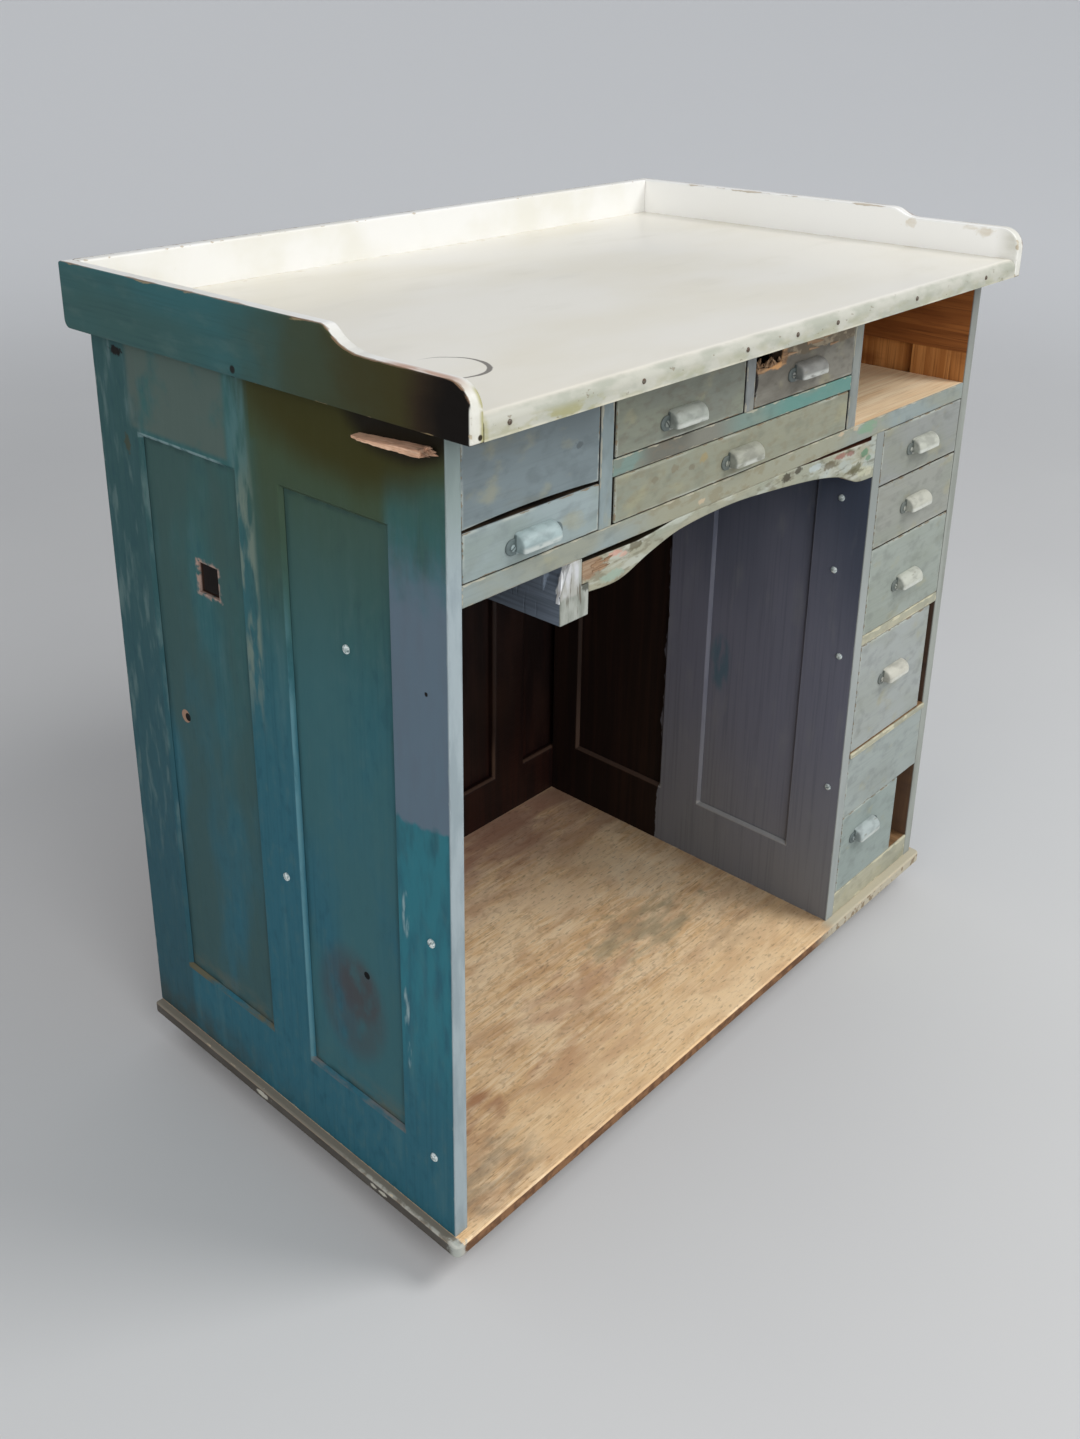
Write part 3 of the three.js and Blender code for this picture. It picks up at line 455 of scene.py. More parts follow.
def add_ring(bm, centre, along, side, out, points):
    """A ring of points round a centre, each given along, to the side and out."""
    return [bm.verts.new(centre + along * a + side * b + out * c) for a, b, c in points]


def bridge(bm, rings):
    """Close a solid from a stack of rings with as many points each."""
    for lower, upper in zip(rings, rings[1:]):
        for i, corner in enumerate(lower):
            after = (i + 1) % len(lower)
            bm.faces.new((corner, lower[after], upper[after], upper[i]))
    bm.faces.new(rings[0][::-1])
    bm.faces.new(rings[-1])


def add_screw(bm, centre, out, slot, radius):
    """A domed, slotted head on a surface: two half domes on a disc, with the slot between them. Their widths
    and heights are shares of the radius."""
    side = out.cross(slot)
    around = [2 * math.pi * i / SCREW_SIDES for i in range(SCREW_SIDES)]
    disc = [[(radius * math.cos(a), radius * math.sin(a), h * radius) for a in around] for h in SCREW_DISC]
    bridge(bm, [add_ring(bm, centre, slot, side, out, level) for level in disc])
    for hand in (1, -1):
        rings = []
        for share, height in SCREW_DOME:
            start = math.asin(SLOT_HALF / share)
            arc = [start + (math.pi - 2 * start) * i / DOME_STEPS for i in range(DOME_STEPS + 1)]
            reach = share * radius
            level = [(hand * reach * math.cos(a), hand * reach * math.sin(a), height * radius) for a in arc]
            rings.append(add_ring(bm, centre, slot, side, out, level))
        bridge(bm, rings)


def make(name, bm, finish, body, smooth=40):
    """Turn finished mesh work into a piece of the bench that moves with a body."""
    bmesh.ops.recalc_face_normals(bm, faces=bm.faces)
    mesh = bpy.data.meshes.new(name)
    bm.to_mesh(mesh)
    bm.free()
    mesh.shade_smooth()
    mesh.set_sharp_from_angle(angle=math.radians(smooth))
    mesh.materials.append(finish.material)
    piece = bpy.data.objects.new(name, mesh)
    bpy.context.scene.collection.objects.link(piece)
    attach(piece, body)
    return piece


PANEL_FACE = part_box("left_end_panel_front")[0].x
LEFT_SCREWS = ((PANEL_FACE, -123, 705), (LEFT, -10, 390), (LEFT, -241, 424), (LEFT, -239, 147))
rubbed_steel = Finish("rubbed_screw_steel", 0.5)
worn = rubbed_steel.cloud(2.5 * MM, 40, detail=3)
colour = rubbed_steel.blend(worn.rise(0.42, 0.62), shade(226, 234, 232), shade(150, 166, 166))
rubbed_steel.shader.inputs["Metallic"].default_value = 0.2
rubbed_steel.lay(colour, 0.4 + worn * 0.2, worn, 0.1 * MM)
bm = bmesh.new()
for turn, (face, y, z) in enumerate(LEFT_SCREWS):
    slot = Vector((0, math.cos(turn * 1.1), math.sin(turn * 1.1)))
    add_screw(bm, Vector((face, y * MM, z * MM)), Vector((-1, 0, 0)), slot, 5 * MM)
make("left_end_screws", bm, rubbed_steel, "bench")


# Right end: the same frame and panels, with its painted face away from the kneehole.
# Inside it is bare orange-brown wood where the open compartment shows it; behind the drawers it is
# painted dark, grey above and brown below, as painted shade.
for node in ("right_end_frame", "right_end_panel_front", "right_end_panel_rear"):
    end = Finish(f"{node}_paint", 0.2)
    coat, strokes = teal_coat(end, 41)
    chalky = end.cloud(18 * MM, 44, "z", 8, detail=6)
    coat = end.blend(chalky.rise(0.52, 0.72) * 0.5, coat, CHALK)
    near_edge = end.edge(*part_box(node))
    chips = (end.cloud(9 * MM, 45, "z", 2, detail=5) - near_edge * 90).rise(0.46, 0.5)
    coat = end.blend(chips * 0.7, coat, shade(140, 146, 138))
    grime = end.z.rise(110 * MM, 58 * MM) * end.cloud(30 * MM, 46, detail=4).rise(0.35, 0.7)
    coat = end.blend(grime * 0.6, coat, shade(66, 66, 56))
    orange, brown, dark = shade(204, 142, 82), shade(168, 108, 56), shade(104, 62, 32)
    upright, _ = wood(end, "z", 47, orange, brown, dark)
    lying, _ = wood(end, "y", 48, shade(166, 104, 54), shade(132, 78, 38), shade(78, 46, 24))
    inside = end.blend(end.z.rise(850 * MM, 852 * MM), upright, lying)
    streak = end.cloud(34 * MM, 49, "y", 4, detail=5)
    inside = end.blend(streak.rise(0.52, 0.7) * 0.55, inside, shade(112, 60, 28))
    # Painted shade inside the pedestal, seen through the gaps round the drawers.
    lower_inside_shade = end.blend(end.z.rise(240 * MM, 260 * MM), shade(82, 70, 60), shade(54, 54, 54))
    inside = end.blend(end.z.rise(811 * MM, 789 * MM) * 0.85, inside, lower_inside_shade)
    face = 7 * MM if "panel" in node else 4 * MM
    coat = end.blend(end.x.rise(RIGHT - face, RIGHT - face - 2 * MM), coat, inside)
    edge_paint = end.blend(chalky.rise(0.42, 0.66) * 0.6, shade(152, 156, 149), shade(128, 131, 124))
    edge_paint = end.blend(end.z.rise(0.72, 0.92) * 0.7, edge_paint, shade(116, 118, 114))
    coat = end.blend(end.y.rise(FRONT + 2 * MM, FRONT + 0.6 * MM), coat, edge_paint)
    end.lay(coat, 0.52 + chalky * 0.16, strokes * 0.4 - chips, 0.3 * MM)
    dress(node, end, 0.4 * MM if "panel" in node else 1.2 * MM)


# Pedestal side: the wall between the kneehole and the drawers, framed and panelled like the ends.
# Slate paint was brushed on as far back as an arm reaches; behind its edge the wood is dark and bare.
PAINTED_TO = 39 * MM
SLATE, PALE_SLATE, SHADED_SLATE = shade(108, 110, 124), shade(118, 119, 122), shade(64, 72, 88)
for node in ("pedestal_side_frame", "pedestal_side_panel_front", "pedestal_side_panel_rear"):
    wall = Finish(f"{node}_paint", 0.2)
    low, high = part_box(node)
    strokes = wall.cloud(3.5 * MM, 51, "z", 50)
    swathe = wall.cloud(140 * MM, 52, "z", 2.5, detail=3)
    coat = wall.blend((wall.z + swathe * 0.3).rise(0.2, 0.55), PALE_SLATE, SLATE)
    # Painted shade: the slate darker and bluer towards the top, under the case.
    coat = wall.blend((wall.z + swathe * 0.3).rise(0.6, 0.9), coat, SHADED_SLATE)
    coat = wall.blend(strokes.rise(0.45, 0.75) * 0.25, coat, shade(66, 70, 80))
    smear = wall.spot(wall.y, wall.z, (-57, 396), 42, 0.42)
    smear = smear * wall.cloud(9 * MM, 53, "z", 5, detail=4).rise(0.3, 0.6)
    coat = wall.blend(smear * 0.6, coat, shade(58, 98, 112))
    dusty = wall.cloud(30 * MM, 54, "z", 3, detail=5)
    coat = wall.blend(dusty.rise(0.54, 0.76) * 0.3, coat, shade(128, 130, 132))
    near_edge = wall.edge(low, high)
    chips = (wall.cloud(9 * MM, 59, "z", 2, detail=5) - near_edge * 90).rise(0.46, 0.5)
    if node == "pedestal_side_frame":
        windows = [outside_window(wall, f"pedestal_side_panel_{place}") for place in ("front", "rear")]
        bevel = (windows[0] & windows[1]).rise(6 * MM, 4 * MM)
        rubbed = bevel * wall.cloud(12 * MM, 55, "z", 6, detail=3).rise(0.34, 0.6)
        coat = wall.blend(rubbed * 0.18, coat, shade(148, 150, 156))
        # Painted highlight: a pale line along the bottom bevels.
        coat = wall.blend(bevel * wall.z.rise(157 * MM, 154 * MM) * 0.5, coat, shade(170, 170, 166))
    coat = wall.blend(chips * 0.5, coat, shade(170, 170, 164))
    stain, _ = wood(wall, "z", 56, shade(38, 23, 17), shade(25, 15, 12), shade(14, 9, 8))
    if node == "pedestal_side_frame":
        # Painted highlight on the bevels behind the paint's edge, strongest low down.
        coat_behind = wall.blend(bevel * (wall.z.rise(0.3, 0.16) * 0.35 + 0.1), stain, shade(104, 84, 72))
    else:
        coat_behind = stain
    wobble = (wall.cloud(90 * MM, 57, detail=2) - 0.5) * 0.03
    wobble = wobble + (wall.cloud(14 * MM, 60, detail=4) - 0.5) * 0.008
    coat = wall.blend((wall.y + wobble).rise(PAINTED_TO - 1 * MM, PAINTED_TO + 1 * MM), coat, coat_behind)
    inside, _ = wood(wall, "z", 58, shade(128, 96, 66), shade(100, 74, 50), shade(62, 44, 30))
    coat = wall.blend(wall.x.rise(low.x + 5 * MM, low.x + 6 * MM), coat, inside)
    edge_paint = wall.blend(dusty.rise(0.45, 0.7) * 0.5, shade(156, 161, 158), shade(138, 144, 141))
    edge_paint = wall.blend(wall.z.rise(0.5, 0.74) * 0.8, edge_paint, shade(130, 135, 131))
    coat = wall.blend(wall.y.rise(FRONT + 2 * MM, FRONT + 0.6 * MM), coat, edge_paint)
    wall.lay(coat, 0.55 + dusty * 0.15, strokes * 0.4 - chips, 0.3 * MM)
    dress(node, wall, 0.4 * MM if "panel" in node else 1.2 * MM)

PEDESTAL_SCREWS = ((-229, 694), (-228, 593), (-248, 473), (-251, 272))
PEDESTAL_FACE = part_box("pedestal_side_frame")[0].x
bm = bmesh.new()
for turn, (y, z) in enumerate(PEDESTAL_SCREWS):
    slot = Vector((0, math.cos(turn * 0.9), math.sin(turn * 0.9)))
    add_screw(bm, Vector((PEDESTAL_FACE, y * MM, z * MM)), Vector((-1, 0, 0)), slot, 4.6 * MM)
make("pedestal_side_screws", bm, rubbed_steel, "bench")


# Back: a frame of four stiles and two rails, with one thin sheet let into a rebate from behind.
# Dark red-brown stain with a dull varnish towards the kneehole, painted near black higher up as shade,
# with painted reflections of the varnish and pale painted highlights on the bottom stickings; outside it is
# only raw, dusty softwood.
for node in ("back_frame", "back_panel"):
    back = Finish(f"{node}_stain", 0.3)
    low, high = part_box(node)
    stain, _ = wood(back, "z", 61, shade(42, 19, 13), shade(27, 12, 9), shade(12, 7, 6))
    # Painted reflection: reddish patches of sheen, which also vary the roughness.
    sheen_and_roughness = back.cloud(60 * MM, 62, "z", 3, detail=4)
    stain = back.blend(sheen_and_roughness.rise(0.5, 0.75) * 0.4, stain, shade(72, 42, 30))
    # Painted shade: near black from low on the back upwards, deep in the kneehole.
    stain = back.blend(back.z.rise(120 * MM, 260 * MM) * 0.6, stain, shade(8, 4, 4))
    # Painted highlight: a reddish gleam of varnish low on the back.
    varnish_highlight = back.band(back.x, 105 * MM, 140 * MM, 45 * MM) * back.band(back.z, 245 * MM, 285 * MM, 60 * MM)
    stain = back.blend(varnish_highlight * (sheen_and_roughness * 0.6 + 0.05), stain, shade(86, 54, 36))
    # Painted highlight: paler bottom stickings.
    sticking_highlight = back.band(back.y, low.y + 1 * MM, low.y + 6 * MM, 0.5 * MM) * back.z.rise(220 * MM, 160 * MM)
    stain = back.blend(sticking_highlight * 0.55, stain, shade(96, 74, 60))
    raw, fibre = wood(back, "z", 63, shade(166, 128, 86), shade(132, 96, 62), shade(84, 60, 40))
    dust = back.cloud(90 * MM, 64, "z", 2, detail=5)
    raw = back.blend(dust.rise(0.4, 0.7) * 0.5, raw, shade(128, 116, 100))
    skin = 3 * MM if node == "back_panel" else 17 * MM
    outside = back.y.rise(low.y + skin - 1 * MM, low.y + skin + 1 * MM)
    if node == "back_frame":
        compartment = back.x.rise(194 * MM, 195 * MM) * back.z.rise(810 * MM, 811 * MM)
        lying, fibre = wood(back, "x", 65, shade(158, 92, 46), shade(122, 68, 32), shade(74, 40, 20))
        stain = back.blend(compartment, stain, lying)
    back.lay(back.blend(outside, stain, raw), 0.4 + sheen_and_roughness * 0.2 + outside * 0.25, fibre, 0.35 * MM)
    dress(node, back, 0.5 * MM if node == "back_panel" else 1.0 * MM)


# Upper case: a bottom board across the whole bench, two dividers, a shelf and a short divider, all housed
# into each other. Only their front edges are painted, each from another pot; behind that they are bare wood,
# painted near black just behind the front as shade in the gaps round the drawers.
def front_coat(finish, colours, seed, axis="x"):
    """Brushed paint on a front: two tones in cloudy patches, darker strokes and a little yellowing."""
    strokes = finish.cloud(2.2 * MM, seed, axis, 36)
    patches = finish.cloud(48 * MM, seed + 1, axis, 2.2, detail=4)
    coat = finish.blend(patches.rise(0.4, 0.66), shade(*colours[0]), shade(*colours[1]))
    darker = tuple(level * 0.76 for level in colours[0])
    coat = finish.blend(strokes.rise(0.46, 0.76) * 0.18, coat, shade(*darker))
    smudged = finish.cloud(14 * MM, seed + 3, axis, 1.6, detail=7)
    coat = finish.blend(smudged.rise(0.48, 0.72) * 0.4, coat, shade(*darker))
    yellowed = finish.cloud(26 * MM, seed + 2, axis, 1.6, detail=6)
    return finish.blend(yellowed.rise(0.56, 0.74) * 0.35, coat, shade(158, 152, 116)), strokes


# Painted shade of the gaps round the drawers, on bare wood.
GAP_SHADE = shade(30, 25, 21)
CASE_BOARDS = {
    "case_bottom": ((136, 147, 145), (140, 143, 130), "x"),
    "divider_left": ((130, 143, 144), (118, 131, 132), "z"),
    "divider_right": ((134, 138, 133), (116, 122, 119), "z"),
    "small_drawer_shelf": ((112, 132, 124), (126, 132, 117), "x"),
    "small_drawer_divider": ((124, 128, 127), (110, 114, 113), "z"),
}
for seed, (node, (tone, second, along)) in enumerate(CASE_BOARDS.items(), 70):
    board = Finish(f"{node}_paint", 0.3)
    low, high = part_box(node)
    coat, strokes = front_coat(board, (tone, second), seed, along)
    if node == "case_bottom":
        khaki = board.band(board.x, -230 * MM, 180 * MM, 50 * MM)
        coat = board.blend(khaki * 0.8, coat, shade(146, 144, 122))
        mottled = board.cloud(10 * MM, 75, "x", 2, detail=5)
        coat = board.blend(khaki * mottled.rise(0.5, 0.64) * 0.5, coat, shade(128, 118, 90))
        green = board.spot(board.x, board.z, (226, 804), 8, 3, 9) * mottled.rise(0.34, 0.56)
        coat = board.blend(green * 0.7, coat, shade(116, 150, 122))
        for x, z in ((163, 808), (198, 808), (-120, 797)):
            bare_chip = board.spot(board.x, board.z, (x, z), 2.6, 2.4, 4)
            coat = board.blend(bare_chip * 0.6, coat, shade(196, 172, 142))
    if node == "small_drawer_shelf":
        bright = board.cloud(16 * MM, 77, "x", 4, detail=6).rise(0.22, 0.46)
        bright = bright * board.x.rise(-30 * MM, 50 * MM)
        coat = board.blend(bright * 0.8, coat, shade(86, 132, 124))
        greyed = board.cloud(24 * MM, 79, "x", 3, detail=5).rise(0.15, 0.45)
        greyed = greyed * board.x.rise(-240 * MM, -205 * MM)
        coat = board.blend(greyed * board.x.rise(-40 * MM, -110 * MM) * 0.85, coat, shade(119, 115, 104))
        coat = board.blend(greyed * board.x.rise(-125 * MM, -165 * MM) * 0.75, coat, shade(95, 95, 86))
        stained = board.cloud(9 * MM, 78, "x", 2, detail=5).rise(0.48, 0.62)
        stained = stained * board.x.rise(-120 * MM, -180 * MM)
        coat = board.blend(stained * 0.35, coat, shade(122, 110, 92))
    near_edge = board.edge(low, high)
    chips = (board.cloud(7 * MM, seed + 9, along, 3, detail=5) - near_edge * 100).rise(0.42, 0.47)
    coat = board.blend(chips * 0.6, coat, shade(178, 172, 152))
    bare, _ = wood(board, "y", seed + 1, shade(176, 118, 66), shade(136, 82, 40), shade(76, 46, 26))
    if node == "case_bottom":
        straw, honey, tan = shade(252, 230, 194), shade(242, 210, 168), shade(196, 158, 114)
        pale, _ = wood(board, "x", seed + 2, straw, honey, tan)
        floor = board.z.rise(high.z - 2 * MM, high.z - 1 * MM) * board.x.rise(190 * MM, 196 * MM)
        bare = board.blend(board.x.rise(190 * MM, 196 * MM), bare, pale)
        bare = board.blend(board.z.rise(low.z + 2 * MM, low.z + 1 * MM), bare, shade(48, 38, 32))
        dirty = board.y.rise(FRONT + 24 * MM, FRONT + 14 * MM) * (1 - floor)
    else:
        open_side = board.x.rise(high.x - 2 * MM, high.x - 1 * MM) if node == "divider_right" else 0
        dirty = board.y.rise(FRONT + 24 * MM, FRONT + 14 * MM) * (1 - open_side)
    # Painted shade: bare wood near black just behind the front, in the gaps round the drawers.
    bare = board.blend(dirty, bare, GAP_SHADE)
    painted = board.y.rise(FRONT + 2.2 * MM, FRONT + 0.8 * MM)
    colour = board.blend(painted, bare, coat)
    board.lay(colour, 0.55 + chips * 0.2, strokes * 0.4 - chips * painted, 0.3 * MM)
    dress(node, board, 1.2 * MM)


# Fixed fronts: the blank board over the left drawer and the one in the pedestal, nailed to the case from
# behind. They are painted like the drawers beside them, so that they pass for drawers.
def painted_front(node, colours, seed, marks=(), mottle=None, torn=None):
    """A board painted on its face only: brushed, dirty where hands go and chipped along its edges."""
    face = Finish(f"{node}_paint", 0.3)
    low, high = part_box(node)
    coat, strokes = front_coat(face, colours, seed)
    near_edge = face.edge(low, high)
    handled = face.cloud(34 * MM, seed + 3, "x", 2.5, detail=5)
    coat = face.blend(handled.rise(0.56, 0.76) * 0.35, coat, shade(108, 108, 94))
    if mottle:
        blotches = face.cloud(7 * MM, seed + 9, "x", 2, detail=7)
        coat = face.blend(blotches.rise(0.46, 0.7) * 0.45, coat, shade(*mottle))
    for place, radius, tone in marks:
        coat = face.blend(face.spot(face.x, face.z, place, radius, 1.5, 5) * 0.6, coat, shade(*tone))
    rim = near_edge.rise(4 * MM, 0.5 * MM) * face.cloud(16 * MM, seed + 4, "x", 3, detail=4).rise(0.4, 0.65)
    coat = face.blend(rim * 0.5, coat, shade(186, 190, 180))
    chips = (face.cloud(7 * MM, seed + 5, "x", 2.5, detail=5) - near_edge * 110).rise(0.44, 0.48)
    coat = face.blend(chips * 0.8, coat, shade(126, 108, 84))
    if torn:
        coat = torn(face, coat, seed + 6)
    # Painted shade: the board's edges near black, as they show in the gaps round it; its back is bare wood.
    rubbed = face.cloud(12 * MM, seed + 7, "x", 3, detail=4).rise(0.4, 0.7)
    sides = face.blend(rubbed, GAP_SHADE, shade(70, 56, 42))
    inside, _ = wood(face, "x", seed + 8, shade(190, 146, 96), shade(156, 112, 70), shade(100, 70, 44))
    sides = face.blend(face.y.rise(high.y - 1.4 * MM, high.y - 0.6 * MM), sides, inside)
    painted = face.y.rise(low.y + 2.4 * MM, low.y + 1.2 * MM)
    face.lay(face.blend(painted, sides, coat), 0.5 + handled * 0.2, strokes * 0.5 - chips, 0.3 * MM)
    return face


NAIL_HOLE = (((-323, 906), 3.2, (66, 72, 74)),)
# The left blank's paint is darker than the drawer's below it, as painted shade of the tray's overhang.
blank_paint = painted_front("left_blank_front", ((112, 124, 127), (104, 115, 118)), 90, NAIL_HOLE)
dress("left_blank_front", blank_paint, 1.2 * MM)
blank_paint = painted_front("pedestal_blank_front", ((152, 160, 156), (145, 152, 147)), 96)
dress("pedestal_blank_front", blank_paint, 1.2 * MM)


# Hanging cheek: a thick board glued under the case from front to back, where the apron's left end stops.
# Its side is slate like the kneehole; its front end is cream, split and chipped.
cheek = Finish("hanging_cheek_paint", 0.25)
low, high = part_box("hanging_cheek")
strokes = cheek.cloud(3 * MM, 101, "y", 40)
coat = cheek.blend(strokes.rise(0.4, 0.7), shade(116, 127, 140), shade(98, 108, 120))
ends = cheek.cloud(10 * MM, 102, "z", 3, detail=5)
cream = cheek.blend(ends.rise(0.4, 0.7), shade(160, 163, 155), shade(130, 134, 125))
flaked = (cheek.z + (ends - 0.5) * 18 * MM).rise(753 * MM, 757 * MM) * cheek.x.rise(-317 * MM, -322 * MM)
white = cheek.blend(ends.rise(0.36, 0.6), shade(196, 197, 200), shade(166, 165, 158))
cream = cheek.blend(flaked * 0.8, cream, white)
crushed = cheek.spot(cheek.x, cheek.z, (-309, 758), 4, 1.5, 4)
cream = cheek.blend(crushed * 0.85, cream, shade(66, 68, 58))
cracks = cheek.cloud(3.5 * MM, 103, "z", 10, detail=4).rise(0.6, 0.68)
cream = cheek.blend(cracks * 0.75, cream, shade(92, 82, 68))
torn_face = cheek.blend(cracks * 0.4, shade(226, 228, 226), shade(170, 160, 148))
depth = cheek.y + (cheek.cloud(8 * MM, 104, detail=4) - 0.5) * 5 * MM
in_chip = depth.rise(FRONT + 9 * MM, FRONT + 7 * MM) * cheek.x.rise(low.x + 0.4 * MM, low.x + 1.2 * MM)
coat = cheek.blend(in_chip, coat, torn_face)
in_notch = cheek.y.rise(FRONT + 21.5 * MM, FRONT + 20.5 * MM)
in_notch = in_notch * cheek.x.rise(high.x - 12 * MM, high.x - 10.5 * MM)
coat = cheek.blend(in_notch, coat, shade(74, 60, 48))
coat = cheek.blend(cheek.y.rise(FRONT + 2 * MM, FRONT + 0.8 * MM), coat, cream)
cheek.lay(coat, 0.6 + ends * 0.15, strokes * 0.4 - cracks, 0.4 * MM)
dress("hanging_cheek", cheek, 1.0 * MM)


# Arched apron: a front board under the case, sawn by hand to an arch between two flat brackets.
# It is glued on; its ends have sprung away from the case, so that bare wood shows at the left and layers of
# old paint at the right.
ARCH = (
    (-304, 750), (-256, 748.5), (-205, 764), (-150, 775.5), (-60, 778.5), (30, 772), (112, 763), (165, 753),
    (190, 744), (216, 734.5), (253, 732)
)
SPRUNG_RIGHT = ((253, 789), (241, 789), (241, 783), (236, 783), (110, 786.5), (60, 789))
SPRUNG_LEFT = ((-165, 789), (-200, 784.5), (-228, 782.5), (-314.4, 784.4), (-314.4, 761), (-304, 761))


def sawn_curve(points, steps):
    """A smooth line through points, as a saw follows a pencil line."""
    points = [Vector(point) for point in points]
    line = []
    for i, (start, end) in enumerate(zip(points, points[1:])):
        before, after = points[max(i - 1, 0)], points[min(i + 2, len(points) - 1)]
        for step in range(steps):
            t = step / steps
            bend = 2 * before - 5 * start + 4 * end - after
            turn = 3 * start - before - 3 * end + after
            line.append((2 * start + (end - before) * t + bend * t ** 2 + turn * t ** 3) / 2)
    return line + points[-1:]


apron = Finish("arched_apron_paint", 0.25)
low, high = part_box("arched_apron")
coat, strokes = front_coat(apron, ((156, 154, 134), (146, 150, 134)), 105)
along_arch = apron.cloud(12 * MM, 106, "x", 4, detail=5)
coat = apron.blend(along_arch.rise(0.5, 0.64) * 0.5, coat, shade(188, 192, 182))
dirty = apron.cloud(7 * MM, 113, "x", 3, detail=5)
coat = apron.blend(dirty.rise(0.56, 0.68) * 0.5, coat, shade(104, 96, 76))
torn = apron.spot(apron.x, apron.z, (-307, 776), 11, 2.4, 9)
split, _ = wood(apron, "x", 107, shade(158, 136, 112), shade(138, 112, 88), shade(86, 66, 48), 5 * MM)
coat = apron.blend(torn, coat, split)
right_end = apron.x.rise(105 * MM, 140 * MM) * (apron.z + dirty * 10 * MM).rise(748 * MM, 756 * MM)
layer = right_end * apron.cloud(22 * MM, 108, "x", 2, detail=7).rise(0.48, 0.58)
coat = apron.blend(layer * 0.7, coat, shade(166, 174, 168))
for place, radius, stretch, tone in (
    ((-264, 780), 3, 3.4, (196, 146, 130)),
    ((-250, 775), 2.4, 2.6, (196, 158, 142)),
    ((-268, 757), 5, 3.6, (144, 164, 150)),
    ((-232, 779), 4, 2.8, (84, 76, 52)),
    ((143, 774), 5, 2.6, (92, 82, 60)),
    ((166, 780), 3.4, 4, (138, 84, 74)),
    ((190, 778), 3.4, 3, (132, 84, 76)),
    ((206, 754), 6, 2.2, (92, 92, 64)),
    ((226, 771), 5.5, 1.6, (74, 122, 92)),
    ((236, 762), 3.6, 1.8, (92, 128, 98)),
    ((110, 779), 4, 3.6, (172, 182, 182)),
    ((222, 747), 6, 1.7, (180, 180, 154)),
    ((240, 744), 6, 1.2, (186, 184, 160)),
):
    flake = apron.spot(apron.x, apron.z, place, radius, stretch, 5)
    coat = apron.blend(flake * 0.75, coat, shade(*tone))
coat = apron.blend(right_end * dirty.rise(0.5, 0.68) * 0.55, coat, shade(88, 84, 62))
for place, radius in (((47, 782), 5), ((72, 785), 4)):
    coat = apron.blend(apron.spot(apron.x, apron.z, place, radius, 1.6, 4) * 0.85, coat, shade(56, 48, 32))
bare, _ = wood(apron, "x", 112, shade(150, 112, 74), shade(116, 80, 50), shade(70, 46, 30))
under = apron.blend(along_arch.rise(0.4, 0.6), bare, shade(160, 166, 156))
# Painted shade: the sprung top edges near black and dark red-brown, in the slit under the case.
slit_shade = apron.z.rise(770 * MM, 778 * MM)
under = apron.blend(slit_shade * apron.x.rise(-140 * MM, -170 * MM), under, shade(34, 27, 16))
under = apron.blend(slit_shade * apron.x.rise(50 * MM, 90 * MM), under, shade(74, 40, 26))
coat = apron.blend(apron.y.rise(FRONT + 0.8 * MM, FRONT + 1.6 * MM), coat, under)
coat = apron.blend(apron.y.rise(high.y - 2 * MM, high.y - 1 * MM), coat, bare)
apron.lay(coat, 0.55 + torn * 0.25, strokes * 0.4 - torn * 2 - right_end * dirty, 0.4 * MM)
outline = [*sawn_curve(ARCH, 8), *map(Vector, SPRUNG_RIGHT), *map(Vector, SPRUNG_LEFT)]
bm = bmesh.new()
bridge(bm, [[bm.verts.new((p.x * MM, y, p.y * MM)) for p in outline] for y in (low.y, high.y)])
board = make("sawn_apron", bm, apron, "bench", 30)
soften(board, 1.2 * MM)
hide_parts("arched_apron")


# Splinters: slivers that lift where boards have broken, at the apron's left end and on the cheek's chipped
# corner. Softwood, bare on the apron and white with paint on the cheek, tapering along the grain.
def add_splinter(bm, root, tip, width, thickness):
    """A sliver of wood from a flat root to a point."""
    along = (tip - root).normalized()
    out = Vector((0, -1, 0)) if abs(along.y) < 0.8 else Vector((-1, 0, 0))
    side = along.cross(out).normalized()
    rings = []
    for share, wide, thick in ((0, 1, 1), (0.35, 0.85, 0.9), (0.7, 0.5, 0.6), (1, 0.06, 0.1)):
        middle = root.lerp(tip, share)
        corners = ((-1, -1), (1, -1), (1, 1), (-1, 1))
        ring = [middle + side * a * wide * width / 2 + out * b * thick * thickness / 2 for a, b in corners]
        rings.append([bm.verts.new(point) for point in ring])
    bridge(bm, rings)


splinter_wood = Finish("splinter_wood", 0.2)
tan, orange, brown = shade(166, 138, 110), shade(136, 108, 82), shade(78, 58, 42)
colour, fibre = wood(splinter_wood, "x", 115, tan, orange, brown, 4 * MM)
splinter_wood.lay(colour, 0.8, fibre, 0.3 * MM)
draw = random.Random(7)
bm = bmesh.new()
for _ in range(8):
    x = draw.uniform(-303, -276)
    z = draw.uniform(768, 778) + (x + 304) * 0.1
    length = draw.uniform(10, 24)
    root = Vector((x * MM, FRONT, z * MM))
    tip = root + Vector((length, draw.uniform(-1.2, -0.2), length * draw.uniform(0.12, 0.22))) * MM
    add_splinter(bm, root, tip, draw.uniform(2, 4) * MM, draw.uniform(0.6, 1.4) * MM)
make("apron_splinters", bm, splinter_wood, "bench", 30)

